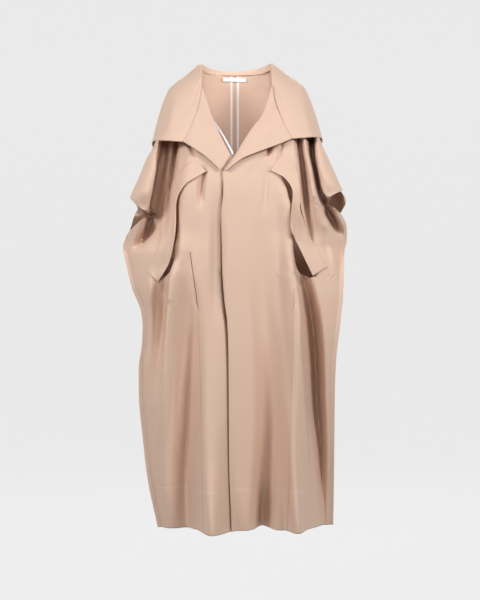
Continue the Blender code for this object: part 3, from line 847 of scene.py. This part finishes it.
def slit_places(z, side, inner, outer):
    """X of the slit's edges, and of the line that carries it on past its ends."""
    table = SLIT[side]
    top, low = table[0], table[-1]
    ends = []
    for end in (top, low):
        end_inner = read(FRONT_EDGE[side], end[0], 1)
        end_outer = side * read(SIDE[side], end[0], 1)
        share = (end[1] - end_inner) / (end_outer - end_inner)
        ends.append(inner + share * (outer - inner))
    open_here = (z < top[0]) & (z > low[0])
    closed = np.where(z >= top[0], ends[0], ends[1])
    return (
        np.where(open_here, read(table, z, 1), closed),
        np.where(open_here, read(table, z, 2), closed),
        np.where(open_here, read(table, z, 3), 0.0),
    )


def front_surface(x, z, side):
    """Depth of a finished front, with its lap, its small creases and its hem."""
    relief = fold_rise(CREASES, x, z) + hem_relief(x, z)
    if side == RIGHT:
        relief = relief + fold_rise(RIGHT_GAP, x, z)
    settled = np.minimum(1.0, 3 * figure_share(x, z))
    return front_y(x, z) + overlap_shift(x, z, side) + FRONT * relief * settled


def rolled(x, z, side):
    """X of the cloth once the folds' edges have rolled over the hollows beside them."""
    drawn = x
    for crest_side, reach_crest, reach_hollow, line in ROLLS[side]:
        offset = (x - read(line, z, 1)) * crest_side
        room = np.maximum(side_value(x, z, 2) - np.abs(read(line, z, 1)), 5.0)
        crest = np.minimum(reach_crest, room) if crest_side == side else reach_crest
        share = np.abs(offset) / np.where(offset > 0, crest, reach_hollow)
        pull = read(line, z, 2) * (0.5 + 0.5 * np.cos(np.pi * np.minimum(share, 1.0)))
        within = (z <= line[0][0]) & (z >= line[-1][0])
        drawn = drawn - crest_side * np.where(within, pull, 0.0)
    return drawn


def front_grids(side):
    """The grids inside and outside the slit."""
    pairs = fine_rows(FRONT_TOP_ROWS, TOP_ROW_STEPS)
    inner_z, outer_z = pairs[:, 0], pairs[:, 1]
    inner = read(FRONT_EDGE[side], inner_z, 1)
    width = read(SIDE[side], outer_z, 2)
    flange = read(SIDE[side], outer_z, 5)
    end = side * (width - TAIL * (1 - flange) - SEAM_FLANGE * flange)
    slit_in, slit_out, sink = slit_places(inner_z, side, inner, end)
    shoulder = np.minimum(1.0, np.arange(len(pairs)) / TOP_ROW_STEPS)
    rounding = np.sqrt(1 - (1 - shoulder) ** 2)[:, None]
    t = np.linspace(0.0, 1.0, SAMPLES)
    grids = []
    for start, stop, towards_edge, near_slit in (
        (inner, slit_in, False, 1.0), (slit_out, end, True, 0.0),
    ):
        eased = 1 - (1 - t) ** 3 if towards_edge else t
        x = start[:, None] + (stop - start)[:, None] * eased
        drop = (x - inner[:, None]) / (end - inner)[:, None]
        z = inner_z[:, None] + (outer_z - inner_z)[:, None] * drop
        y = front_surface(x, z, side)
        y = y + near_slit * sink[:, None] * np.exp(
            -np.abs(x - slit_in[:, None]) / SLIT_SINK_REACH)
        y = y * rounding
        columns = OUTER_COLUMNS if towards_edge else INNER_COLUMNS
        grids.append(even_columns(rolled(x, z, side), y, z, columns))
    tail = tail_points(side, outer_z, 2, lambda x, z: front_surface(x, z, side), FRONT)
    tail[:, :, 1] *= rounding
    grids[1] = np.concatenate([grids[1], tail], axis=1)
    return grids


# Lines of sewing, in from the cloth's edge, and the sizes of each kind of stitch
FLANGE_LINE_IN = 8.2
MOUTH_LINE_IN = 8.5
STITCH_OFF = 0.1
FAR_OFF = 600.0
MOUTH_LINE = (-290.0, -440.0)
MOUTH_LINE_POINTS = 160
FLANGE_LINE = (-444.0, HEM + 3)
FLANGE_LINE_POINTS = 260
HEM_LINE_POINTS = 120
RUNNING = {"Pitch": 3.3, "Stitch Length": 2.8, "Thread Width": 0.9, "Thread Height": 0.6}
HEM_PICK = {"Pitch": 7.6, "Stitch Length": 3.2, "Thread Width": 1.3, "Thread Height": 0.6}
SATIN = {"Pitch": 0.62, "Stitch Length": 0.6, "Thread Width": 1.9, "Thread Height": 0.6}
STITCH_SIDES = 6
STITCH_RINGS = 4
UNEVEN = (0.86, 1.08)
UNEVEN_SEED = 7
# the topstitching thread's own slightly darker tone, darkened further by painted shade of the
# seams' puckering
TOP_THREAD_WITH_PAINTED_SHADE = (0.44, 0.29, 0.22, 1)
FINE_THREAD = (0.88, 0.70, 0.60, 1)
# The keyhole buttonhole beside the end of the left lapel: its outline, as X and height
BUTTONHOLE = (
    (-22.4, -240.2), (-19.6, -239.8), (-15.5, -236.6), (-12.6, -234.0), (-9.6, -233.2),
    (-7.6, -230.8), (-8.8, -228.0), (-11.8, -227.6), (-13.8, -229.6), (-14.4, -232.6),
    (-17.6, -235.2), (-22.2, -238.2), (-23.4, -239.4),
)


def plain_thread(name, colour):
    """A plied sewing thread's material."""
    material, thread, start = new_surface(name)
    place = start.node("ShaderNodeTexCoord", (), (), "Object")
    ply = noise(place, 2600.0)
    relief_normal(ply, 0.6, 0.0001).feed(thread, "Normal")
    (0.45 + 0.2 * ply).feed(thread, "Roughness")
    thread.inputs["Base Color"].default_value = colour
    thread.inputs["Specular IOR Level"].default_value = 0.4
    return material


def stitching_nodes(name, thread):
    """Geometry nodes that lay stitches of thread along chains of points."""
    tree = bpy.data.node_groups.new(name, "GeometryNodeTree")
    tree.interface.new_socket("Chains", in_out="INPUT", socket_type="NodeSocketGeometry")
    for name in RUNNING:
        tree.interface.new_socket(name, in_out="INPUT", socket_type="NodeSocketFloat")
    tree.interface.new_socket("Stitches", in_out="OUTPUT", socket_type="NodeSocketGeometry")

    def add(kind, settings=(), sockets=()):
        made = tree.nodes.new(kind)
        for name, value in dict(settings).items():
            setattr(made, name, value)
        for name, value in dict(sockets).items():
            if isinstance(value, bpy.types.NodeSocket):
                tree.links.new(value, made.inputs[name])
            else:
                made.inputs[name].default_value = value
        return made

    given = add("NodeGroupInput").outputs
    curve = add("GeometryNodeMeshToCurve", (), {"Mesh": given["Chains"]})
    spaced = add("GeometryNodeResampleCurve", {"mode": "LENGTH"},
                 {"Curve": curve.outputs[0], "Length": given["Pitch"]})
    along = add("GeometryNodeInputTangent")
    lying = add("FunctionNodeAlignRotationToVector", {"axis": "X"}, {"Vector": along.outputs[0]})
    level = add("FunctionNodeAlignRotationToVector", {"axis": "Y", "pivot_axis": "X"},
                {"Rotation": lying.outputs[0], "Vector": (0, -1, 0)})
    # Random Value has a Min and a Max for each of its types: 2 and 3 are those of numbers
    uneven = add("FunctionNodeRandomValue", {"data_type": "FLOAT"},
                 {2: UNEVEN[0], 3: UNEVEN[1], "Seed": UNEVEN_SEED})
    random_share = next(out for out in uneven.outputs if out.enabled)
    length = add("ShaderNodeMath", {"operation": "MULTIPLY"},
                 {0: given["Stitch Length"], 1: random_share})
    size = add("ShaderNodeCombineXYZ", (), {
        "X": length.outputs[0], "Y": given["Thread Height"], "Z": given["Thread Width"]})
    stitch = add("GeometryNodeMeshUVSphere", (), {
        "Segments": STITCH_SIDES, "Rings": STITCH_RINGS, "Radius": 0.5})
    laid = add("GeometryNodeInstanceOnPoints", (), {
        "Points": spaced.outputs[0], "Instance": stitch.outputs[0],
        "Rotation": level.outputs[0], "Scale": size.outputs[0]})
    real = add("GeometryNodeRealizeInstances", (), {0: laid.outputs[0]})
    smooth = add("GeometryNodeSetShadeSmooth", (), {0: real.outputs[0]})
    dyed = add("GeometryNodeSetMaterial", (), {0: smooth.outputs[0], "Material": thread})
    add("NodeGroupOutput", (), {"Stitches": dyed.outputs[0]})
    return tree


def on_cloth(piece, places, face):
    """Places (X, height) dropped onto one face of a cloth piece, just off it."""
    bpy.context.view_layer.update()
    cloth = BVHTree.FromObject(piece, bpy.context.evaluated_depsgraph_get())
    chain = []
    for x, z in places:
        start = Vector((x, face * FAR_OFF, z)) * MM
        hit, normal = cloth.ray_cast(start, Vector((0, -face, 0)))[:2]
        if hit is not None:
            chain.append(hit + Vector((0, face * STITCH_OFF * MM, 0)))
    return chain


def sew(name, nodes, lines):
    """One plain mesh of stitches. Each line is its chain of points and its stitches' sizes."""
    made = []
    for number, (chain, sizes) in enumerate(lines):
        data = bpy.data.meshes.new(name)
        data.from_pydata(chain, [(i, i + 1) for i in range(len(chain) - 1)], [])
        guide = bpy.data.objects.new(f"{name}_guide_{number}", data)
        bpy.context.scene.collection.objects.link(guide)
        sewing = guide.modifiers.new("sewing", "NODES")
        sewing.node_group = nodes
        for socket in nodes.interface.items_tree:
            if socket.name in sizes:
                sewing[socket.identifier] = sizes[socket.name] * MM
        bpy.context.view_layer.update()
        seen = guide.evaluated_get(bpy.context.evaluated_depsgraph_get())
        made.append(bpy.data.meshes.new_from_object(seen))
        bpy.data.objects.remove(guide)
    joined = bmesh.new()
    for data in made:
        joined.from_mesh(data)
    mesh = bpy.data.meshes.new(name)
    joined.to_mesh(mesh)
    joined.free()
    mesh.materials.append(made[0].materials[0])
    stitches = bpy.data.objects.new(name, mesh)
    bpy.context.scene.collection.objects.link(stitches)
    return stitches


def mouth_line(side, column):
    """Places along a sleeve's mouth, in from the edge of its front or its back."""
    z = np.linspace(MOUTH_LINE[0], MOUTH_LINE[1], MOUTH_LINE_POINTS)
    x = side * read(SIDE[side], z, column)
    step_x, step_z = np.gradient(x), np.gradient(z)
    length = np.hypot(step_x, step_z)
    return list(zip(
        x + side * MOUTH_LINE_IN * step_z / length, z - side * MOUTH_LINE_IN * step_x / length,
    ))


def flange_line(side):
    """Places down the side seam's flange, in from its edge."""
    z = np.linspace(FLANGE_LINE[0], FLANGE_LINE[1], FLANGE_LINE_POINTS)
    return list(zip(side * (read(SIDE[side], z, 1) - FLANGE_LINE_IN), z))


def hem_line(start, end):
    """Places along the turned-up hem's edge."""
    x = np.linspace(start, end, HEM_LINE_POINTS)
    return list(zip(x, hem_edge(x)))


# Each front's cloth has lines of painted shadow: its seam grooves, its pocket slit and, on the
# left front, the buttonhole
front_cloth = {
    RIGHT: gabardine("gabardine_right_front", (
        (-441, -115.6, -577, -96.7, 1.5, 0.9), (-574, -98, -586, -93.5, 1.2, 0.5),
        (-592, -96, -700, -92, 0.9, 0.34), (-700, -92, HEM, -82, 0.9, 0.34),
    )),
    LEFT: gabardine("gabardine_left_front", (
        (-532, 139.6, -582, 137.6, 1.3, 0.55), (-581, 137, -588, 134, 1.2, 0.4),
        (-588, 136, -700, 135, 0.9, 0.3), (-700, 135, HEM, 124, 0.9, 0.34),
        (-230.7, -10.8, -239, -21, 1.0, 1.0),
    )),
}
front_right = cloth_piece("front_right_cloth", front_grids(RIGHT), front_cloth[RIGHT])
front_left = cloth_piece("front_left_cloth", front_grids(LEFT), front_cloth[LEFT])
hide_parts("front_right")
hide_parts("front_left")
topstitching = stitching_nodes("topstitching", plain_thread("topstitch_thread_painted_shade", TOP_THREAD_WITH_PAINTED_SHADE))
fine_stitching = stitching_nodes("fine_stitching", plain_thread("fine_thread", FINE_THREAD))
right_top = sew("front_right_topstitches", topstitching, (
    (on_cloth(front_right, flange_line(RIGHT), FRONT), RUNNING),
    (on_cloth(front_right, mouth_line(RIGHT, 2), FRONT), RUNNING),
))
left_top = sew("front_left_topstitches", topstitching, (
    (on_cloth(front_left, flange_line(LEFT), FRONT), RUNNING),
    (on_cloth(front_left, mouth_line(LEFT, 2), FRONT), RUNNING),
))
right_fine = sew("front_right_hem_stitches", fine_stitching, (
    (on_cloth(front_right, hem_line(-30, -196), FRONT), HEM_PICK),
))
left_fine = sew("front_left_hem_stitches", fine_stitching, (
    (on_cloth(front_left, hem_line(24, 230), FRONT), HEM_PICK),
    (on_cloth(front_left, BUTTONHOLE, FRONT), SATIN),
))
hand_over(
    (front_right, front_left, right_top, left_top, right_fine, left_fine))


# ---- The backs ----------------------------------------------------------------------
# Two panels joined in a centre back seam. They hang from the shoulders in soft folds like
# the front's, and their sides make the back of the sleeves' mouths.

CENTRE_BACK = -6.0
BACK_COLUMNS = 96
HEM_IN = 8.0
HEM_OUT = 190.0
# The back's top edge rises towards the neck's sides: how much, at which X, over what reach,
# and the height at which it has gone
NECK_RISE = 9.0
NECK_RISE_AT = 72.0
NECK_RISE_REACH = 22.0
NECK_RISE_END = -40.0
BACK_TOP_ROWS = tuple((z, z) for z in (20, 6, -10, -28, -50, -80, -115, -145, TOP_OF_ROWS))
# X beside the centre seam: the seam, its fold, and the two edges of its tape
SEAM_COLUMNS = (SEAM_GAP / 2, 2.0, 6.0, 11.0)

BACK_FOLDS = (
    ("back right outer pleat", 20, 22, 1.0, (
        (-180, -176, 0), (-300, -196, -22), (-420, -204, -24), (-620, -196, -18),
        (-900, -186, -26), (HEM, -170, -34))),
    ("back right fold", 34, 36, 1.0, (
        (-330, -122, 0), (-560, -124, 18), (-860, -122, 34), (HEM, -118, 48))),
    ("back right trough", 30, 30, 1.0, (
        (-420, -62, 0), (-700, -66, -16), (-940, -70, -34), (HEM, -72, -46))),
    ("back middle fold", 34, 34, 1.0, (
        (-480, CENTRE_BACK, 0), (-760, CENTRE_BACK, 14), (-960, CENTRE_BACK, 28),
        (HEM, CENTRE_BACK, 38))),
    ("back left trough", 30, 34, 1.0, (
        (-380, 58, 0), (-640, 64, -18), (-900, 72, -36), (HEM, 78, -48))),
    ("back left fold", 36, 34, 1.0, (
        (-320, 128, 0), (-540, 134, 18), (-820, 142, 34), (HEM, 150, 50))),
    ("back left outer pleat", 22, 20, 1.0, (
        (-170, 182, 0), (-300, 202, -22), (-430, 210, -22), (-600, 206, -8),
        (-760, 206, 0))),
)
BACK_CREASES = (
    ("right blade crease", 12, 14, 1.0, (
        (-250, -92, 0), (-330, -98, 5), (-440, -96, 4), (-540, -94, 0))),
    ("left blade crease", 14, 11, 1.0, (
        (-230, 84, 0), (-320, 90, 6), (-400, 92, 4), (-500, 90, 0))),
    ("right low crease", 12, 12, 1.0, (
        (-720, -94, 0), (-820, -96, -5), (-960, -95, -7), (HEM, -92, -4))),
    ("left low crease", 12, 14, 1.0, (
        (-680, 104, 0), (-800, 106, 5), (-940, 108, 6), (HEM, 112, 3))),
    ("left side crease", 10, 10, 1.0, (
        (-600, 176, 0), (-700, 178, 5), (-880, 184, 6), (-1040, 186, 0))),
    ("right mouth's back lip", 60, 44, 0.5, (
        (-300, -250, 0), (-318, -244, -56), (-332, -240, -104), (-346, -238, -128),
        (-360, -242, -98), (-376, -254, -54), (-404, -278, 0))),
)


def back_y(x, z):
    """Depth of the back's cloth, without its creases and hem."""
    x, z = np.broadcast_arrays(np.asarray(x, float), np.asarray(z, float))
    return panel_y(x, z, read(FIGURE, z, 2), fold_rise(BACK_FOLDS, x, z), BACK)


def back_surface(x, z):
    """Depth of a finished back."""
    relief = fold_rise(BACK_CREASES, x, z) + hem_relief(x, z)
    return back_y(x, z) + relief * np.minimum(1.0, 3 * figure_share(x, z))


def back_grid(side):
    """One grid from the centre seam out, whose top edge rises beside the neck."""
    pairs = fine_rows(BACK_TOP_ROWS, TOP_ROW_STEPS)
    height = pairs[:, 0]
    width = read(SIDE[side], height, 3)
    flange = read(SIDE[side], height, 5)
    end = side * (width - TAIL * (1 - flange) - SEAM_FLANGE * flange)
    by_seam = CENTRE_BACK + side * np.array(SEAM_COLUMNS)
    t = np.linspace(0.0, 1.0, SAMPLES)
    x = by_seam[-1] + (end - by_seam[-1])[:, None] * (1 - (1 - t) ** 3)
    z = np.broadcast_to(height[:, None], x.shape)
    outer = even_columns(x, back_surface(x, z), z, BACK_COLUMNS)
    seam_x = np.broadcast_to(by_seam[:-1], (len(height), len(by_seam) - 1))
    seam_z = np.broadcast_to(height[:, None], seam_x.shape)
    seam = np.stack([seam_x, back_surface(seam_x, seam_z), seam_z], axis=2)
    tail = tail_points(side, height, 3, back_surface, BACK)
    grid = np.concatenate([seam, outer, tail], axis=1)
    near = np.exp(-((np.abs(grid[:, :, 0]) - NECK_RISE_AT) / NECK_RISE_REACH) ** 2)
    share = np.clip((height - NECK_RISE_END) / (height[0] - NECK_RISE_END), 0.0, 1.0)
    grid[:, :, 2] += NECK_RISE * near * share[:, None] ** 2
    return grid


back_cloth = gabardine("gabardine_back")
back_right = cloth_piece("back_right_cloth", [back_grid(RIGHT)], back_cloth)
back_left = cloth_piece("back_left_cloth", [back_grid(LEFT)], back_cloth)
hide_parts("back_right")
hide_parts("back_left")
back_sewn = {}
for side, back, name in ((RIGHT, back_right, "back_right"), (LEFT, back_left, "back_left")):
    hem = hem_line(CENTRE_BACK + side * HEM_IN, side * HEM_OUT)
    back_sewn[side] = [
        sew(name + "_topstitches", topstitching, (
            (on_cloth(back, flange_line(side), BACK), RUNNING),
            (on_cloth(back, mouth_line(side, 3), BACK), RUNNING),
            (on_cloth(back, mouth_line(side, 3), FRONT), RUNNING),
        )),
        sew(name + "_hem_stitches", fine_stitching, ((on_cloth(back, hem, BACK), HEM_PICK),)),
    ]
    hand_over((back, *back_sewn[side]))


# ---- The collar ---------------------------------------------------------------------
# A very wide collar, cut like a short cape: it rises from the neck seam, rolls over and
# lies down over the shoulders, with a pressed bend there, and is deepest at the back.

# Sections of the collar from the front seam round to the centre back. Each is a row of
# points (x, y, z): neck seam, roll line, slope, shoulder, drop and free edge.
COLLAR = (
    ((84, -44, -32), (88, -51, -22), (92, -68, -58), (100, -90, -92), (115, -105, -132),
     (133, -114, -169)),
    ((85, -29, -5), (90, -35, 6), (107, -58, -39), (122, -82, -82), (143, -97, -126),
     (164, -106, -166)),
    ((86, -6, 19), (91, -8, 30), (121, -32, -12), (150, -54, -56), (174, -70, -113),
     (194, -78, -162)),
    ((86, 18, 26), (90, 16, 42), (127, 10, 12), (170, 2, -24), (193, -4, -87),
     (212, -8, -161)),
    ((71, 56, 24), (75, 54, 38), (120, 62, 6), (165, 72, -34), (190, 77, -105),
     (205, 76, -184)),
    ((47, 72, 22), (50, 73, 33), (93, 99, 1), (136, 120, -55), (162, 132, -138),
     (178, 140, -234)),
    ((23, 77, 22), (24, 78, 30), (51, 115, -10), (77, 139, -78), (91, 153, -172),
     (99, 160, -278)),
    ((0, 79, 22), (0, 80, 29), (0, 119, -12), (0, 143, -84), (0, 158, -186),
     (0, 166, -300)),
)
COLLAR_LINES = len(COLLAR[0])
COLLAR_BY_STATION = [[row[k] for row in COLLAR] for k in range(COLLAR_LINES)]
LEFT_COLLAR_LIFT = 8.0
LEFT_COLLAR_WIDTH = 1.03
COLLAR_STEPS_ROUND = 168
COLLAR_STEPS_DOWN = 64
# The pressed bend on the shoulder: place and reach from the front seam, station and reach
# down the collar, and how straight it is pressed
SHOULDER_BEND = (3.1, 0.8, 3.0, 0.55, 0.75)


def spline(points, place):
    """A point at a place from 0 to len(points) - 1 on a smooth curve through the points."""
    last = len(points) - 1
    i = min(int(place), last - 1)
    t = place - i
    here, there = np.asarray(points[i], float), np.asarray(points[i + 1], float)
    before = np.asarray(points[i - 1], float) if i else 2 * here - there
    after = np.asarray(points[i + 2], float) if i + 2 <= last else 2 * there - here
    return 0.5 * (
        2 * here + (there - before) * t
        + (2 * before - 5 * here + 4 * there - after) * t * t
        + (3 * here - before - 3 * there + after) * t ** 3
    )


def collar_point(place, station):
    """A point on the collar, from place -7 on the right front seam round to 7 on the left."""
    along = 7 - abs(place)
    columns = [spline(COLLAR_BY_STATION[k], along) for k in range(COLLAR_LINES)]
    smooth = spline(columns, station)
    i = min(int(station), COLLAR_LINES - 2)
    straight = columns[i] + (columns[i + 1] - columns[i]) * (station - i)
    middle, reach, middle_down, reach_down, pressed = SHOULDER_BEND
    pressed *= math.exp(-((along - middle) / reach) ** 2)
    pressed *= math.exp(-((station - middle_down) / reach_down) ** 2)
    x, y, z = smooth + (straight - smooth) * pressed
    if place > 0:
        outward = station / (COLLAR_LINES - 1) * min(1.0, place / 3)
        x = CENTRE_BACK * (1 - place / 7) + x * (1 + (LEFT_COLLAR_WIDTH - 1) * outward)
        return np.array([x, y, z + LEFT_COLLAR_LIFT * outward])
    return np.array([CENTRE_BACK * (1 + place / 7) - x, y, z])


# Creases of the collar: place round it, reach, station down it, reach, lean of its line,
# and rise of the cloth
COLLAR_CREASES = (
    (-6.3, 0.16, 1.9, 0.9, 0.10, -3.0),
    (6.35, 0.16, 1.9, 0.9, 0.10, -3.0),
    (-5.4, 0.35, 3.9, 0.8, -0.5, 2.4),
    (5.1, 0.40, 4.0, 0.9, 0.5, 2.8),
    (-4.6, 0.40, 4.2, 0.8, -0.2, -2.4),
    (3.3, 0.55, 4.1, 1.0, 0.3, 2.4),
    (-3.2, 0.55, 4.2, 0.9, -0.3, 2.2),
    (2.1, 0.50, 4.2, 1.1, 0.2, -2.6),
    (-1.9, 0.50, 4.3, 1.0, -0.2, -2.4),
    (1.0, 0.55, 4.3, 1.2, 0.1, 3.0),
    (-0.7, 0.55, 4.3, 1.2, -0.1, 2.8),
    (-1.2, 0.50, 1.1, 0.4, 0.0, -2.0),
    (1.4, 0.60, 1.1, 0.4, 0.0, 1.6),
)


def collar_rise(place, station):
    """How far the creases lift the collar."""
    rise = 0.0
    for middle, reach, down, reach_down, slant, height in COLLAR_CREASES:
        offset = (place - middle - slant * (station - down)) / reach
        rise += height * math.exp(-offset * offset - ((station - down) / reach_down) ** 2)
    return rise


def collar_grid():
    """The collar from front seam to front seam, with its creases."""
    places = np.linspace(-7, 7, COLLAR_STEPS_ROUND + 1)
    stations = np.linspace(0, COLLAR_LINES - 1, COLLAR_STEPS_DOWN + 1)
    grid = np.array([[collar_point(p, s) for p in places] for s in stations])
    down, around = np.gradient(grid, axis=0), np.gradient(grid, axis=1)
    normal = np.cross(around, down)
    normal /= np.linalg.norm(normal, axis=2, keepdims=True)
    outwards = np.sign((normal[:, :, :2] * grid[:, :, :2]).sum(axis=2).mean())
    rise = np.array([[collar_rise(p, s) for p in places] for s in stations])
    return grid + normal * (outwards * rise)[:, :, None]


collar_cloth = gabardine("gabardine_collar")
collar = cloth_piece("collar_cloth", [collar_grid()], collar_cloth, 2.0)
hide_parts("collar")
hand_over((collar,))


# ---- The lapels ---------------------------------------------------------------------
# They roll out from the fronts above the top button, faced with the same cloth, and are
# joined to the collar's ends in a seam on each side.

# Rows of each lapel from its seam with the collar to the top button: roll line x, z, then
# free edge x, z. The lapel lies on the front, and stands off it more at its free edge.
LAPEL = {
    RIGHT: (
        (-86, -26, -133, -169), (-79, -46, -122, -176), (-71, -71, -108, -185),
        (-61, -104, -88, -198), (-46, -141, -70, -212), (-28, -178, -55, -226),
        (-16, -202, -41, -241),
    ),
    LEFT: (
        (82, -20, 114, -165), (77, -42, 106, -170), (70, -71, 90, -178), (59, -102, 66, -188),
        (30, -144, 36, -200), (5, -189, 12, -211), (-15, -220, -9, -226),
        (-30, -238, -26, -241),
    ),
}
LAPEL_STAND_OFF = 15.0
LAPEL_ROWS = 90
LAPEL_COLUMNS = 44


def lapel_grid(side):
    """Rows from the collar seam to the button, each from the roll line to the free edge."""
    table = LAPEL[side]
    first = table[0]
    across = np.linspace(0.0, 1.0, LAPEL_COLUMNS + 1)
    seam = np.array([collar_point(side * 7, 1 + 4 * a) for a in across])
    seam_off = front_y(seam[:, 0], seam[:, 2]) - seam[:, 1]
    rows = []
    for i in range(LAPEL_ROWS + 1):
        along = i / LAPEL_ROWS
        row = spline(table, along * (len(table) - 1))
        near_seam = (1 - along) ** 2
        x = row[0] + (row[2] - row[0]) * across
        z = row[1] + (row[3] - row[1]) * across
        x = x + near_seam * (seam[:, 0] - side * 0.5 - first[0] - (first[2] - first[0]) * across)
        z = z + near_seam * (seam[:, 2] - first[1] - (first[3] - first[1]) * across)
        y = front_y(x, z) + overlap_shift(x, z, side)
        off = 2 * CLOTH * lean(front_y, x, z)
        off = off + LAPEL_STAND_OFF * np.sin(across * math.pi / 2) * (1 - 0.6 * along)
        y = y - off - (seam_off - off) * near_seam ** 2
        rows.append(np.stack([x, y, z], axis=1))
    return np.array(rows)


lapel_cloth = gabardine("gabardine_lapels")
lapel_right = cloth_piece("lapel_right_cloth", [lapel_grid(RIGHT)], lapel_cloth, 2.0)
lapel_left = cloth_piece("lapel_left_cloth", [lapel_grid(LEFT)], lapel_cloth, 2.0)
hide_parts("lapel_right")
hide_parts("lapel_left")
hand_over((lapel_right, lapel_left))


# ---- The arm slits' welts -----------------------------------------------------------
# A doubled band along each slit, sewn to the slit's outer edge and free along the inner
# one, where the hand goes in behind it.

# Rows along each welt: free edge x, z, sewn edge x, z, then how far the free edge stands
# off the front
WELT = {
    RIGHT: (
        (-75, -242, -105, -212, 5), (-101, -258, -131, -231, 5),
        (-126, -274, -156, -256, 5), (-143, -298, -176, -286, 6),
        (-150, -324, -186, -320, 7), (-150, -367, -187, -366, 8),
        (-153, -404, -190, -406, 10), (-165, -463, -202, -450, 9),
        (-195, -515, -222, -490, 6),
    ),
    LEFT: (
        (82, -240, 105, -205, 5), (100, -249, 122, -216, 5),
        (117, -259, 140, -232, 6), (132, -279, 154, -258, 8),
        (137, -300, 157, -294, 10), (134, -340, 155, -330, 10),
        (132, -384, 164, -362, 9), (155, -434, 192, -424, 9),
        (187, -500, 224, -478, 6),
    ),
}
WELT_ROWS = 130
WELT_COLUMNS = 18
WELT_SEWN_OFF = 1.5
WELT_FREE_SHARE = 0.6
WELT_CLOTH = 1.2


def welt_grid(side):
    """Rows along a welt, each from its free edge to its sewn one."""
    table = WELT[side]
    across = np.linspace(0.0, 1.0, WELT_COLUMNS + 1)
    rows = []
    for i in range(WELT_ROWS + 1):
        row = spline(table, i / WELT_ROWS * (len(table) - 1))
        x = row[0] + (row[2] - row[0]) * across
        z = row[1] + (row[3] - row[1]) * across
        off = row[4] * WELT_FREE_SHARE * (1 - across ** 0.7) + WELT_SEWN_OFF
        rows.append(np.stack([x, front_y(x, z) - off * lean(front_y, x, z), z], axis=1))
    return np.array(rows)


welt_cloth = gabardine("gabardine_welts")
welt_right = cloth_piece("welt_right_cloth", [welt_grid(RIGHT)], welt_cloth, WELT_CLOTH)
welt_left = cloth_piece("welt_left_cloth", [welt_grid(LEFT)], welt_cloth, WELT_CLOTH)
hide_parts("welt_right")
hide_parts("welt_left")
hand_over((welt_right, welt_left))


# ---- The white tapes ----------------------------------------------------------------
# Woven binding: one on each edge of the centre back seam, pressed open inside, and one on
# the right facing's edge, which shows inside the neck.

TAPE = 0.8
TAPE_WHITE = (0.93, 0.94, 0.96, 1)
TAPE_SHADE = (0.78, 0.80, 0.84, 1)
TAPE_RIB = 0.7
FACING_TAPE = ((-63, -103), (-58, -115), (-45, -135), (-27, -166), (-9, -200))
FACING_TAPE_WIDTH = 4.6
FACING_TAPE_STEPS = 60
FACING_TAPE_BEHIND = 4.5
TAPE_COLUMNS = 8


def woven_tape(name):
    """A ribbed white tape's material."""
    material, tape, start = new_surface(name)
    flat = start.node("ShaderNodeUVMap", {"uv_map": "cloth"})
    rib = ribs(coordinate(flat, "Y"), TAPE_RIB)
    wear = noise(flat, 160.0)
    mixed(rib * 0.6 + wear * 0.4, TAPE_SHADE, TAPE_WHITE).feed(tape, "Base Color")
    relief_normal(rib, 0.5, 0.0001).feed(tape, "Normal")
    (0.5 + 0.15 * wear).feed(tape, "Roughness")
    tape.inputs["Specular IOR Level"].default_value = 0.3
    return material


tape_white = woven_tape("white_woven_tape")


def seam_tape_grid(side):
    """Rows down one edge of the centre back seam, just inside the back."""
    height = fine_rows(BACK_TOP_ROWS, 2)[:, 0]
    x = CENTRE_BACK + side * np.linspace(SEAM_COLUMNS[2], SEAM_COLUMNS[3], TAPE_COLUMNS + 1)
    x = np.broadcast_to(x, (len(height), TAPE_COLUMNS + 1))
    z = np.broadcast_to(height[:, None], x.shape)
    off = ((CLOTH + TAPE) / 2 + 0.5) * lean(back_y, x, z)
    return np.stack([x, back_surface(x, z) - off, z], axis=2)


def facing_tape_grid():
    """Rows down the right facing's edge, crowned a little in the middle."""
    offset = np.linspace(-0.5, 0.5, TAPE_COLUMNS + 1) * FACING_TAPE_WIDTH
    crown = 0.8 * (1 - (2 * offset / FACING_TAPE_WIDTH) ** 2)
    rows = []
    for i in range(FACING_TAPE_STEPS + 1):
        x, z = spline(FACING_TAPE, i / FACING_TAPE_STEPS * (len(FACING_TAPE) - 1))
        depth = front_y(x + offset, z) + FACING_TAPE_BEHIND - crown
        rows.append(np.stack([x + offset, depth, z + offset * 0.5], axis=1))
    return np.array(rows)


for name, side in (("back_seam_tape_right", RIGHT), ("back_seam_tape_left", LEFT)):
    tape = cloth_piece(name + "_weave", [seam_tape_grid(side)], tape_white, TAPE)
    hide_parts(name)
    hand_over((tape,))
facing_tape = cloth_piece("facing_tape_weave", [facing_tape_grid()], tape_white, TAPE)
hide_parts("facing_tape")
hand_over((facing_tape,))


# ---- The neck label -----------------------------------------------------------------
# A blank woven label, folded double and sewn by its two ends inside the back neck.

LABEL_WIDTH = 60.0
LABEL_HEIGHT = 9.5
LABEL_TOP = 15.0
LABEL_TILT = 1.5
LABEL_BELLY = 1.2
LABEL_STAND_OFF = 2.4
LABEL_COLUMNS = 48
LABEL_ROWS = 8


def label_grid():
    """Rows down the label, which bellies out a little between its sewn ends."""
    x = CENTRE_BACK - 0.5 + LABEL_WIDTH * np.linspace(-0.5, 0.5, LABEL_COLUMNS + 1)
    down = np.linspace(0.0, 1.0, LABEL_ROWS + 1)[:, None]
    x = np.broadcast_to(x, (LABEL_ROWS + 1, LABEL_COLUMNS + 1))
    share = (x - CENTRE_BACK) / LABEL_WIDTH
    z = LABEL_TOP - LABEL_HEIGHT * down - LABEL_TILT * share
    belly = LABEL_BELLY * np.cos(np.pi * share) * np.sin(np.pi * down)
    return np.stack([x, back_y(x, z) - CLOTH - TAPE - LABEL_STAND_OFF - belly, z], axis=2)


label = cloth_piece("neck_label_weave", [label_grid()], tape_white, TAPE)
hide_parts("neck_label")
hand_over((label,))
